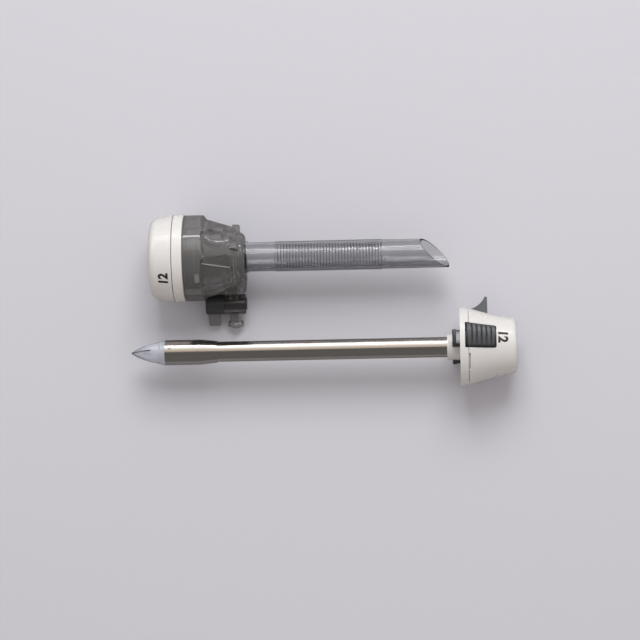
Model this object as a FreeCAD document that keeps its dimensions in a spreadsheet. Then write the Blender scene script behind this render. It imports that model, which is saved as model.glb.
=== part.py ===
import FreeCAD, Part
import math
import operator
import os

import Sketcher

# A 12 mm laparoscopic trocar as its two units lie side by side on a table: the cannula with its seal cap,
# and the bladeless obturator, turned end for end. Both axes run along X. The origin is on the table, in the
# middle of the pair.
#
# Each unit has its own frame. Its x runs along the unit from a datum face (the cap's face on the cannula,
# the point on the obturator), its y points at the stopcock or the fin lever, and stations along it are
# measured in millimetres from the datum.

DIMENSIONS = [
    ("row_spacing", 46.5, "between the two axes as the units lie"),
    ("head_setback", 10.9, "cap face behind the obturator point"),
    ("fit_gap", 0.05, "between parts that are glued, pressed or snapped together"),
    ("running_gap", 0.05, "round a part that turns in another"),
    ("seam_gap", 0.25, "visible seam between two mouldings"),
    ("window_gap", 0.4, "round a button or lever in its window"),
    ("cut_past", 4.0, "how far a cut reaches past the surface that it opens"),
    ("shell_wall", 1.8, "wall of the white mouldings"),
    # Seal cap
    ("cap_length", 11.7, "cap face to the seam"),
    ("cap_face_radius", 19.6, "where the cap's face and side would meet"),
    ("cap_rounding", 4.6, "rounding of that edge"),
    ("cap_rim_radius", 21.6, "cap at the seam"),
    ("cap_plate", 2.0, "end plate of the cap"),
    ("port_radius", 7.6, "throat of the instrument port"),
    ("port_funnel", 1.6, "lead-in of the port, along and across"),
    ("port_depth", 5.2, "cap face to the end of the throat"),
    ("throat_wall", 1.4, "wall of the throat"),
    ("shelf_plate", 1.5, "shelf of the seal carrier"),
    ("shelf_hole_radius", 8.0, "hole in the shelf"),
    ("spigot_play", 0.3, "seal carrier inside the housing mouth"),
    ("spigot_wall", 1.6, "wall of the seal carrier"),
    ("spigot_end", 15.3, "cap face to the end of the seal carrier"),
    ("crown_plate", 0.9, "ring over the leaves"),
    ("crown_inset", 1.2, "crown's bore outside the shelf's hole"),
    ("leaf_sheet", 0.5, "thickness of a leaf"),
    ("leaf_hole_radius", 4.0, "opening between the leaves"),
    ("leaf_slit", 0.4, "slit between two leaves"),
    ("lip_sheet", 0.9, "thickness of the lip seal"),
    ("lip_hole_radius", 2.4, "hole in the lip seal"),
    ("seal_slope", 0.55, "rise of the leaves and the lip for each millimetre inwards"),
    ("lip_step", 0.9, "lip's bend outside that of the leaves"),
    ("gasket_flange", 2.3, "width of the gasket's two flanges"),
    ("gasket_sheet", 0.6, "thickness of the floating gasket"),
    ("retainer_plate", 1.3, "ring that closes the cap"),
    # Housing
    ("collar_length", 5.2, "white ring along the axis"),
    ("collar_proud", 0.2, "white ring beyond the cap's rim"),
    ("collar_rounding", 0.5, "edges of the white ring"),
    ("housing_length", 29.7, "grey housing beyond the white ring"),
    ("band_inset", 0.6, "white ring beyond the housing's straight band"),
    ("band_length", 9.5, "length of that band"),
    ("band_step", 1.3, "chamfer below the band"),
    ("dome_inset", 1.8, "band beyond the dome's start"),
    ("dome_end_radius", 12.3, "dome at its rounded end"),
    ("dome_bow", 34.0, "radius of the dome's side"),
    ("dome_rounding", 3.0, "radius of the dome's end"),
    ("dome_nose", 2.3, "length of that rounded end"),
    ("finger_mark_start", 5.9, "rim to the raised mark on the band"),
    ("finger_mark_length", 2.4, "raised mark along the axis"),
    ("finger_mark_width", 5.2, "raised mark round the axis"),
    ("finger_mark_proud", 0.35, "raised mark over the band"),
    ("finger_mark_angle", 91.0, "raised mark from the stopcock, about the axis"),
    ("mouth_inset", 6.4, "cap's rim to the bore of the housing mouth"),
    ("mouth_wall", 1.7, "wall of the mouth inside the white ring"),
    ("mouth_proud", 4.4, "mouth ahead of the housing's rim"),
    ("mouth_depth", 8.2, "rim to the duckbill's shoulder"),
    ("chamber_radius", 12.6, "chamber round the duckbill"),
    ("chamber_depth", 18.4, "rim to the chamber's taper"),
    ("flange_depth", 4.45, "chamber's taper to the sleeve's seat"),
    ("bore_taper", 2.0, "length of that taper"),
    ("panel_near", 17.6, "flat finger panel at its outer end"),
    ("panel_far", 12.9, "flat finger panel at its inner end"),
    ("panel_start", 9.1, "rim to the panel"),
    ("panel_end", 24.8, "rim to the panel's end"),
    ("panel_slope", 1.7, "slope at the panel's end, along and across"),
    ("panel_up", 6.4, "panel's width away from the stopcock"),
    ("panel_down", 9.2, "panel's width towards the stopcock"),
    ("scallop_angle", 150.0, "finger scallop from the stopcock, about the axis"),
    ("scallop_station", 18.6, "rim to the middle of the scallop"),
    ("scallop_reach", 21.4, "axis to the middle of the scallop's ball"),
    ("scallop_long", 9.6, "scallop's ball along the axis"),
    ("scallop_deep", 6.6, "scallop's ball across the wall"),
    ("scallop_wide", 7.4, "scallop's ball round the axis"),
    ("lug_angle", 140.0, "suture lug from the stopcock, about the axis"),
    ("lug_station", 25.2, "rim to the middle of the lug"),
    ("lug_length", 3.8, "lug along the axis"),
    ("lug_reach", 16.2, "axis to the lug's top"),
    ("lug_rounding", 0.8, "corners of the lug"),
    ("lug_thickness", 3.2, "lug round the axis"),
    ("boss_reach", 17.7, "axis to the stopcock boss's flat"),
    ("boss_start", 12.4, "rim to the stopcock boss"),
    ("boss_width", 11.0, "stopcock boss across"),
    ("boss_slope", 1.6, "boss's front slope along the axis"),
    ("boss_rounding", 2.4, "corners of the boss"),
    # Sleeve
    ("sleeve_length", 100.7, "sleeve beyond the housing"),
    ("sleeve_radius", 7.2, "outside of the smooth sleeve"),
    ("sleeve_bore", 6.45, "working channel"),
    ("neck_radius", 7.7, "thicker root of the sleeve"),
    ("neck_proud", 1.5, "root beyond the housing"),
    ("flange_sleeve_radius", 10.4, "sleeve's flange in the housing"),
    ("flange_sleeve_plate", 2.2, "thickness of that flange"),
    ("rib_height", 0.4, "grip rib over the sleeve"),
    ("rib_pitch", 1.5, "rib to rib"),
    ("rib_start", 15.0, "housing to the first rib"),
    ("rib_count", 35, "ribs on the sleeve"),
    ("ring_cord", 0.85, "half thickness of the O-ring"),
    # Duckbill
    ("duckbill_flange", 1.9, "thickness of the duckbill's flange"),
    ("duckbill_root", 9.6, "root of the bill"),
    ("duckbill_half_width", 9.0, "half width of the lips"),
    ("duckbill_half_lip", 0.7, "half thickness of the closed lips"),
    ("duckbill_length", 11.0, "length of the bill"),
    ("duckbill_wall", 0.9, "wall of the bill"),
    ("duckbill_slit", 0.08, "half of the slit at rest"),
    ("clamp_ring", 3.9, "thickness of the duckbill's retainer"),
    ("clamp_ring_bore", 10.5, "bore of the duckbill's retainer"),
    # Stopcock
    ("cock_reach", 26.4, "cannula axis to the barrel's axis"),
    ("barrel_radius", 5.0, "outside of the barrel and the hub"),
    ("barrel_start", 18.2, "rim to the barrel"),
    ("barrel_length", 10.4, "length of the barrel"),
    ("cock_rounding", 0.6, "edges of the stopcock's parts"),
    ("plug_radius", 2.95, "key's plug in the barrel"),
    ("plug_lip", 0.45, "snap lip past the barrel"),
    ("hub_start", 8.8, "rim to the key's hub"),
    ("passage_radius", 1.2, "gas passage"),
    ("inlet_station", 23.1, "rim to the port's axis"),
    ("stub_radius", 3.3, "inlet stub"),
    ("stub_depth", 3.4, "stub in its socket"),
    ("port_neck_radius", 2.7, "neck of the luer port"),
    ("port_reach", 38.5, "cannula axis to the port's mouth"),
    ("luer_lug_radius", 3.9, "lugs of the luer lock"),
    ("luer_rim_radius", 3.3, "rim between the lugs"),
    ("luer_lug_height", 2.6, "rim and lugs along the port"),
    ("luer_lug_step", 0.8, "lugs behind the start of the rim"),
    ("luer_lug_rounding", 0.5, "corners of the lugs"),
    ("luer_rim_slope", 0.6, "slope from the neck up to the rim"),
    ("luer_rim_rounding", 0.2, "edge of the mouth"),
    ("luer_mouth_radius", 2.15, "luer bore at its mouth"),
    ("luer_taper", 0.03, "fall of the bore's radius for each millimetre"),
    ("luer_depth", 7.5, "depth of the luer bore"),
    ("luer_well", 1.2, "straight well below the luer bore"),
    ("paddle_station", 12.7, "rim to the middle of the paddle"),
    ("paddle_reach", 37.8, "cannula axis to the paddle's end"),
    ("paddle_root_width", 6.9, "paddle at its hub"),
    ("paddle_tip_width", 5.6, "paddle at its end"),
    ("paddle_plate", 3.0, "thickness of the paddle"),
    # Obturator shaft, measured from the point
    ("button_roll", 19.5, "front button's lean from straight up"),
    ("tip_nose", 11.5, "point to the end of the ogive"),
    ("tip_nose_radius", 4.93, "ogive there"),
    ("tip_blunt", 0.25, "radius of the blunted point"),
    ("tip_bow", 30.0, "radius of the ogive's side"),
    ("tip_waist", 13.8, "point to the waist"),
    ("tip_waist_radius", 5.4, "tip at the waist"),
    ("tip_flare", 14.6, "point to the flare"),
    ("tip_flare_radius", 5.9, "tip at the flare"),
    ("tip_seat", 16.8, "point to the steel ferrule"),
    ("tip_wall", 1.1, "wall of the hollow tip"),
    ("tip_plug_length", 7.4, "tip inside the ferrule"),
    ("tip_hollow", 5.5, "point to the hollow's end"),
    ("tip_edge", 0.4, "slope of the tip up to the ferrule's edge"),
    ("ridge_start", 0.9, "point to the ridges"),
    ("ridge_root", 0.7, "ridge sunk in the ogive"),
    ("ridge_proud", 0.35, "ridge over the ogive"),
    ("ridge_sheet", 0.5, "thickness of a ridge"),
    ("ferrule_radius", 6.2, "outside of the ferrule"),
    ("ferrule_wall", 0.4, "wall of the ferrule over the tip"),
    ("ferrule_taper_start", 34.2, "point to the ferrule's taper"),
    ("ferrule_end", 42.7, "point to the ferrule's end"),
    ("ferrule_end_radius", 5.35, "ferrule at its end"),
    ("snap_hole_station", 19.3, "point to the ferrule's hole"),
    ("snap_hole_radius", 0.7, "that hole"),
    ("tube_radius", 5.0, "steel tube"),
    ("tube_wall", 0.45, "wall of the steel tube"),
    ("tube_end", 168.8, "point to the tube's end in the handle"),
    # Handle
    ("boss_face", 156.3, "point to the handle's boss"),
    ("handle_boss_radius", 6.35, "boss of the handle"),
    ("flange_face", 162.7, "point to the flange"),
    ("flange_radius", 20.0, "flange, which rests on the table"),
    ("seam_station", 166.9, "point to the handle's seam"),
    ("seam_radius", 19.1, "handle at the seam"),
    ("base_plate", 2.0, "plate of the flange"),
    ("rim_wall", 1.2, "ring that locates the shell"),
    ("rim_taper", 1.1, "fall of that ring's outside over its height"),
    ("rim_height", 2.5, "that ring inside the shell"),
    ("hub_height", 2.3, "collar for the tube on the plate"),
    ("hub_wall", 2.55, "wall of that collar"),
    ("shell_waist", 187.0, "point to the end of the shell's curve"),
    ("shell_waist_radius", 13.9, "shell there"),
    ("shell_bow", 125.0, "radius of the shell's hollow side"),
    ("handle_end", 190.7, "point to the end of the handle"),
    ("handle_end_radius", 13.3, "shell's end before its rounding"),
    ("handle_rounding", 3.0, "rounding of the shell's end"),
    ("notch_height", 0.8, "open notch in the seam"),
    ("notch_start", 118.5, "notch from the fin lever, about the axis"),
    ("notch_sweep", 27.0, "length of the notch, about the axis"),
    ("notch_depth", 1.5, "depth of the notch"),
    ("stop_ring_radius", 8.0, "stop ring on the tube"),
    ("stop_ring_plate", 2.2, "thickness of the stop ring"),
    # Latches
    ("button_start", 166.0, "point to the button's flange end"),
    ("button_end", 180.1, "point to the button's other end"),
    ("button_start_radius", 19.85, "button's face at the flange end"),
    ("button_end_radius", 16.2, "button's face at the other end"),
    ("button_start_width", 12.3, "button at the flange end"),
    ("button_end_width", 10.6, "button at the other end"),
    ("button_rounding", 1.0, "corners of the button"),
    ("button_face", 2.0, "thickness of the button's face"),
    ("button_rib_count", 6, "ribs across the button"),
    ("button_groove", 0.9, "width of the groove between ribs"),
    ("button_groove_depth", 1.1, "depth of that groove in the middle"),
    ("button_margin", 1.0, "plain margin at the grooves' ends"),
    ("button_nose", 1.2, "button's far end above the pivot"),
    ("button_wall", 4.7, "foot of the button over the spring"),
    ("arm_inner", 12.0, "axis to the latch arm"),
    ("arm_outer", 14.4, "axis to the arm's outside"),
    ("arm_width", 8.0, "width of the arm"),
    ("hook_lead", 0.6, "lead-in slope of the beak"),
    ("hook_back", 0.5, "slope behind the beak"),
    ("hook_start", 158.9, "point to the hook's end"),
    ("hook_reach", 15.6, "axis to the beak"),
    ("hook_length", 1.6, "beak along the axis"),
    ("pivot_station", 182.5, "point to the latch's pivot"),
    ("pivot_height", 11.5, "axis to the latch's pivot"),
    ("pivot_radius", 1.0, "trunnion of the latch"),
    ("pivot_length", 10.8, "trunnion end to end"),
    ("ear_half", 1.7, "half of an ear along the axis"),
    ("ear_drop", 2.0, "ear below the pivot"),
    ("ear_rise", 1.4, "ear above the pivot"),
    ("ear_rounding", 1.0, "lower corners of an ear"),
    ("heel_reach", 4.3, "pivot to the lever's heel"),
    ("heel_slope", 0.8, "slope of the heel along the axis"),
    ("lever_half", 1.0, "half thickness of the lever at its pivot"),
    ("ear_plate", 1.15, "ear that carries the trunnion"),
    ("latch_travel", 1.4, "hook's inward travel"),
    ("spring_radius", 1.1, "mean radius of the latch spring"),
    ("spring_wire", 0.18, "half thickness of its wire"),
    ("spring_pitch", 1.17, "turn to turn"),
    ("spring_station", 168.2, "point to the spring's axis"),
    # Scope lock
    ("guide_bore", 4.7, "scope guide"),
    ("guide_wall", 0.9, "wall of the scope guide"),
    ("guide_lead", 0.7, "lead-in across the guide's mouth"),
    ("guide_lead_depth", 1.5, "lead-in along the guide"),
    ("guide_start", 169.6, "point to the guide's inner end"),
    ("guide_flange_radius", 9.3, "flange that keeps the cam ring"),
    ("guide_flange_plate", 1.5, "thickness of that flange"),
    ("cam_start", 169.8, "point to the cam ring"),
    ("cam_length", 4.8, "cam ring along the axis"),
    ("cam_radius", 10.5, "outside of the cam ring"),
    ("cam_pocket", 3.4, "depth of the cam in the ring"),
    ("cam_bore", 7.7, "radius of the eccentric cam"),
    ("cam_offset", 1.9, "its eccentricity"),
    ("pad_length", 2.8, "scope pad along the axis"),
    ("pad_width", 4.0, "scope pad across"),
    ("pad_play", 0.1, "pad's face outside the guide's bore"),
    ("pad_crown", 4.0, "radius of the pad's back, which the cam pushes"),
    ("fin_thickness", 4.0, "fin round the axis"),
    ("fin_start", 168.5, "point to the fin's front foot"),
    ("fin_end", 176.4, "point to the fin's back"),
    ("fin_tip", 175.8, "point to the fin's tip"),
    ("fin_reach", 25.5, "axis to the fin's tip"),
    ("fin_bow", 11.0, "radius of the fin's hollow edge"),
    ("fin_foot_rise", 0.4, "fin's front foot above the shell"),
    ("fin_foot_drop", 1.2, "fin's side below the shell"),
    ("fin_root_slope", 1.8, "slope of the fin's root down to the cam ring"),
    ("fin_root_inset", 0.4, "fin's root inside the cam ring's faces"),
    ("fin_root_depth", 0.8, "fin's root sunk in the cam ring"),
    ("fin_tip_flat", 1.1, "length of the fin's blunt tip"),
    ("fin_tip_fall", 2.0, "slope behind the fin's tip"),
    ("fin_side_gap", 1.5, "free angle beside the fin in its slot"),
    ("fin_turn", 25.0, "travel of the fin lever in degrees"),
]

doc = FreeCAD.newDocument("trocar")
sheet = doc.addObject("Spreadsheet::Sheet", "spec")
for row, (alias, value, note) in enumerate(DIMENSIONS, start=1):
    sheet.set(f"A{row}", str(value))
    sheet.setAlias(f"A{row}", alias)
    sheet.set(f"B{row}", note)
doc.recompute()


class Size:
    """A number together with the sheet formula that it comes from."""

    def __init__(self, value, text):
        self.value = value
        self.text = text

    def __add__(self, other):
        return combined(self, "+", other)

    def __radd__(self, other):
        return combined(other, "+", self)

    def __sub__(self, other):
        return combined(self, "-", other)

    def __rsub__(self, other):
        return combined(other, "-", self)

    def __mul__(self, other):
        return combined(self, "*", other)

    def __rmul__(self, other):
        return combined(other, "*", self)

    def __truediv__(self, other):
        return combined(self, "/", other)

    def __neg__(self):
        return combined(0, "-", self)


OPERATIONS = {"+": operator.add, "-": operator.sub, "*": operator.mul, "/": operator.truediv}


def as_size(item):
    if isinstance(item, Size):
        return item
    return Size(float(item), str(item))


def combined(first, sign, second):
    first = as_size(first)
    second = as_size(second)
    value = OPERATIONS[sign](first.value, second.value)
    return Size(value, f"({first.text} {sign} {second.text})")


def cosine(angle):
    angle = as_size(angle)
    return Size(math.cos(math.radians(angle.value)), f"cos({angle.text})")


def sine(angle):
    angle = as_size(angle)
    return Size(math.sin(math.radians(angle.value)), f"sin({angle.text})")


def tangent_angle(ratio):
    return Size(math.degrees(math.atan(ratio.value)), f"(atan({ratio.text}) / 1 deg)")


def sine_angle(ratio):
    return Size(math.degrees(math.asin(ratio.value)), f"(asin({ratio.text}) / 1 deg)")


def root(square):
    return Size(math.sqrt(square.value), f"sqrt({square.text})")


class Spec:
    """Reads a dimension of the sheet by its alias."""

    def __getattr__(self, alias):
        return Size(float(getattr(sheet, alias)), "spec." + alias)


spec = Spec()

# The head's radii follow the cap's rim, so that its parts stay flush.

collar_radius = spec.cap_rim_radius + spec.collar_proud
band_radius = collar_radius - spec.band_inset
dome_start_radius = band_radius - spec.dome_inset
mouth_radius = spec.cap_rim_radius - spec.mouth_inset
spigot_radius = mouth_radius - spec.spigot_play


# Where the two units lie

obturator_length = spec.handle_end
cannula_y = (spec.row_spacing - collar_radius + spec.flange_radius) / 2
obturator_y = cannula_y - spec.row_spacing
port_diagonal = root(spec.port_reach * spec.port_reach + spec.luer_rim_radius * spec.luer_rim_radius)
# The stopcock hangs down until the rim of its luer port touches the table.
cock_droop = sine_angle(collar_radius / port_diagonal) - tangent_angle(spec.luer_rim_radius / spec.port_reach)

UNITS = {
    "cannula": (spec.head_setback - obturator_length / 2, cannula_y, collar_radius, 180 + cock_droop),
    "obturator": (-obturator_length / 2, obturator_y, spec.flange_radius, -spec.button_roll),
}


def placement_text(x, y, z, angle, axis="1; 0; 0"):
    x, y, z, angle = (as_size(item).text for item in (x, y, z, angle))
    return f"placement(vector({x}; {y}; {z}); rotation(vector({axis}); {angle}))"


def lay(piece, unit, local=None):
    """Puts a piece into its unit's frame; local is its own place in that frame."""
    text = placement_text(*UNITS[unit])
    if local:
        text = text + " * " + local
    piece.setExpression("Placement", text)


# Sketch and feature helpers

pieces = []


def new_body(name):
    body = doc.addObject("PartDesign::Body", name)
    body.Label = name
    pieces.append(body)
    return body


def plane_of(body, role):
    return [item for item in body.Origin.OriginFeatures if item.Role == role][0]


def new_sketch(body, name, role="XY_Plane", offset=None):
    sketch = body.newObject("Sketcher::SketchObject", name)
    sketch.AttachmentSupport = (plane_of(body, role), [""])
    sketch.MapMode = "FlatFace"
    if offset:
        sketch.setExpression("AttachmentOffset", offset)
    return sketch


class Corner:
    """A corner of an outline: rounding rounds it off, bow bends the side that leads to it.

    A bow is positive where the side bulges to the left of its own direction."""

    def __init__(self, x, y, rounding=None, bow=None):
        self.x = as_size(x)
        self.y = as_size(y)
        self.rounding = as_size(rounding) if rounding is not None else None
        self.bow = as_size(bow) if bow is not None else None
        self.spot = FreeCAD.Vector(self.x.value, self.y.value, 0)


def bind(sketch, constraint, size):
    index = sketch.addConstraint(constraint)
    if "spec." in size.text:
        sketch.setExpression(f"Constraints[{index}]", size.text)


def pin_point(sketch, geometry, end, x, y):
    """Holds a point at x, y from the sketch's origin."""
    if x.text == "0":
        sketch.addConstraint(Sketcher.Constraint("PointOnObject", geometry, end, -2))
    else:
        bind(sketch, Sketcher.Constraint("DistanceX", -1, 1, geometry, end, x.value), x)
    if y.text == "0":
        sketch.addConstraint(Sketcher.Constraint("PointOnObject", geometry, end, -1))
    else:
        bind(sketch, Sketcher.Constraint("DistanceY", -1, 1, geometry, end, y.value), y)


def arc_between(start, end, radius, leftward):
    """The short arc from start to end, and which of its ends is the start."""
    chord = end - start
    middle = (start + end) * 0.5
    left = FreeCAD.Vector(-chord.y, chord.x, 0).normalize()
    rise = math.sqrt(max(radius * radius - chord.Length * chord.Length / 4, 0))
    centre = middle - left * rise if leftward else middle + left * rise
    first, last = (end, start) if leftward else (start, end)
    angles = [math.atan2(point.y - centre.y, point.x - centre.x) for point in (first, last)]
    circle = Part.Circle(centre, FreeCAD.Vector(0, 0, 1), radius)
    return Part.ArcOfCircle(circle, angles[0], angles[1]), 2 if leftward else 1


def rounded_ends(before, corner, after):
    """Where a rounding leaves the two straight sides of its corner."""
    towards = (before - corner.spot).normalize()
    onwards = (after - corner.spot).normalize()
    half = towards.getAngle(onwards) / 2
    reach = corner.rounding.value / math.tan(half)
    return corner.spot + towards * reach, corner.spot + onwards * reach


def add_outline(sketch, corners):
    """Draws a closed outline and ties every corner to the sheet."""
    count = len(corners)
    leaving = []
    arriving = []
    for index, corner in enumerate(corners):
        first = last = corner.spot
        if corner.rounding:
            before = corners[index - 1].spot
            after = corners[(index + 1) % count].spot
            first, last = rounded_ends(before, corner, after)
        arriving.append(first)
        leaving.append(last)
    sides = []
    for index in range(count):
        following = (index + 1) % count
        start, end = leaving[index], arriving[following]
        bow = corners[following].bow
        if bow:
            shape, first_end = arc_between(start, end, abs(bow.value), bow.value > 0)
            number = sketch.addGeometry(shape)
            radius = bow if bow.value > 0 else -bow
            bind(sketch, Sketcher.Constraint("Radius", number, radius.value), radius)
            sides.append((number, first_end, 3 - first_end))
        else:
            sides.append((sketch.addGeometry(Part.LineSegment(start, end)), 1, 2))
    for index, corner in enumerate(corners):
        before = sides[index - 1]
        after = sides[index]
        if not corner.rounding:
            sketch.addConstraint(Sketcher.Constraint("Coincident", before[0], before[2], after[0], after[1]))
            pin_point(sketch, after[0], after[1], corner.x, corner.y)
            continue
        start, end = arriving[index], leaving[index]
        turn = (start - corners[index - 1].spot).cross(end - start).z
        shape, first_end = arc_between(start, end, corner.rounding.value, turn < 0)
        arc = sketch.addGeometry(shape)
        sketch.addConstraint(Sketcher.Constraint("Tangent", before[0], before[2], arc, first_end))
        sketch.addConstraint(Sketcher.Constraint("Tangent", arc, 3 - first_end, after[0], after[1]))
        bind(sketch, Sketcher.Constraint("Radius", arc, corner.rounding.value), corner.rounding)
        mark = sketch.addGeometry(Part.Point(corner.spot), True)
        pin_point(sketch, mark, 1, corner.x, corner.y)
        sketch.addConstraint(Sketcher.Constraint("PointOnObject", mark, 1, before[0]))
        sketch.addConstraint(Sketcher.Constraint("PointOnObject", mark, 1, after[0]))


def add_circle(sketch, x, y, radius):
    x, y, radius = as_size(x), as_size(y), as_size(radius)
    centre = FreeCAD.Vector(x.value, y.value, 0)
    number = sketch.addGeometry(Part.Circle(centre, FreeCAD.Vector(0, 0, 1), radius.value))
    bind(sketch, Sketcher.Constraint("Radius", number, radius.value), radius)
    pin_point(sketch, number, 3, x, y)


def rectangle(low_x, high_x, low_y, high_y, rounding=None):
    return [
        Corner(low_x, low_y, rounding),
        Corner(high_x, low_y, rounding),
        Corner(high_x, high_y, rounding),
        Corner(low_x, high_y, rounding),
    ]


def turned(body, name, corners, kind="Revolution", role="XY_Plane", angle=None, offset=None, axis="H_Axis"):
    """A solid, or a cut, turned about the sketch's own axis."""
    sketch = new_sketch(body, name + "_outline", role, offset)
    add_outline(sketch, [corner if isinstance(corner, Corner) else Corner(*corner) for corner in corners])
    feature = body.newObject("PartDesign::" + kind, name)
    feature.Profile = sketch
    feature.ReferenceAxis = (sketch, [axis])
    if angle:
        feature.Midplane = True
        feature.Angle = angle
    return feature


def extruded(body, name, sketch, length, kind="Pad", both_sides=True, reverse=False, other_length=None):
    feature = body.newObject("PartDesign::" + kind, name)
    feature.Profile = sketch
    if other_length is not None:
        feature.SideType = "Two sides"
        feature.setExpression("Length2", as_size(other_length).text)
    elif both_sides:
        feature.SideType = "Symmetric"
    feature.Reversed = reverse
    feature.setExpression("Length", as_size(length).text)
    return feature


def outline_sketch(body, name, corners, role="XY_Plane", offset=None):
    sketch = new_sketch(body, name + "_outline", role, offset)
    add_outline(sketch, [corner if isinstance(corner, Corner) else Corner(*corner) for corner in corners])
    return sketch


def repeated(body, kind, name, originals):
    feature = body.newObject("PartDesign::" + kind, name)
    feature.Originals = originals
    body.Tip = feature
    return feature


def mirrored(body, name, originals, role="XY_Plane"):
    feature = repeated(body, "Mirrored", name, originals)
    feature.MirrorPlane = (plane_of(body, role), [""])
    return feature


def around_axis(body, name, originals, count, angle=360):
    feature = repeated(body, "PolarPattern", name, originals)
    feature.Axis = ([item for item in body.Origin.OriginFeatures if item.Role == "X_Axis"][0], [""])
    feature.Angle = angle
    if isinstance(count, Size):
        feature.setExpression("Occurrences", count.text)
    else:
        feature.Occurrences = count
    return feature


# Stations along the cannula, from the cap's face

rim = spec.cap_length + spec.collar_length
housing_end = rim + spec.housing_length
mouth_end = rim - spec.mouth_proud
shoulder = rim + spec.mouth_depth
sleeve_tip = housing_end + spec.sleeve_length
flange_seat = rim + spec.chamber_depth + spec.flange_depth
collar_start = spec.cap_length + spec.seam_gap / 2
cap_end = spec.cap_length - spec.seam_gap / 2


def make_seal_cap():
    """White cap: end plate with the instrument port, two latch windows, and a flared skirt."""
    body = new_body("seal_cap")
    flare = (spec.cap_rim_radius - spec.cap_face_radius) / spec.cap_length
    plate_inside = spec.cap_face_radius + flare * spec.cap_plate - spec.shell_wall
    throat_outside = spec.port_radius + spec.throat_wall
    turned(
        body,
        "cap_shell",
        [
            Corner(0, spec.port_radius + spec.port_funnel),
            Corner(0, spec.cap_face_radius, rounding=spec.cap_rounding),
            Corner(cap_end, spec.cap_rim_radius),
            Corner(cap_end, spec.cap_rim_radius - spec.shell_wall),
            Corner(spec.cap_plate, plate_inside),
            Corner(spec.cap_plate, throat_outside),
            Corner(spec.port_depth, throat_outside),
            Corner(spec.port_depth, spec.port_radius),
            Corner(spec.port_funnel, spec.port_radius),
        ],
    )
    window = outline_sketch(
        body,
        "latch_window",
        rectangle(
            -spec.arm_width / 2 - spec.window_gap,
            spec.arm_width / 2 + spec.window_gap,
            spec.arm_inner - spec.latch_travel - spec.window_gap / 2,
            spec.arm_outer + spec.window_gap,
        ),
        role="YZ_Plane",
    )
    cut = extruded(body, "latch_window", window, spec.cap_plate * 3, "Pocket")
    around_axis(body, "latch_windows", [cut], 2)
    lay(body, "cannula")


carrier_face = spec.port_depth + spec.fit_gap
stack_face = carrier_face + spec.shelf_plate
stack_radius = spigot_radius - spec.spigot_wall - spec.fit_gap * 2


def make_seal_carrier():
    """White inner cup: a shelf that snaps into the skirt and the spigot that enters the housing."""
    body = new_body("seal_carrier")
    flare = (spec.cap_rim_radius - spec.cap_face_radius) / spec.cap_length
    shelf_radius = spec.cap_face_radius + flare * carrier_face - spec.shell_wall - spec.fit_gap * 2
    turned(
        body,
        "carrier",
        [
            (carrier_face, spec.shelf_hole_radius),
            (carrier_face, shelf_radius),
            (stack_face, shelf_radius),
            (stack_face, spigot_radius),
            (spec.spigot_end, spigot_radius),
            (spec.spigot_end, spigot_radius - spec.spigot_wall),
            (stack_face, spigot_radius - spec.spigot_wall),
            (stack_face, spec.shelf_hole_radius),
        ],
    )
    lay(body, "cannula")


crown_start = stack_face + spec.fit_gap
leaf_start = crown_start + spec.crown_plate + spec.fit_gap
leaf_bend = spec.shelf_hole_radius + spec.crown_inset
lip_start = leaf_start + spec.leaf_sheet + spec.fit_gap
gasket_start = lip_start + spec.lip_sheet + spec.fit_gap
closing_start = spec.spigot_end - spec.retainer_plate


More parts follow.
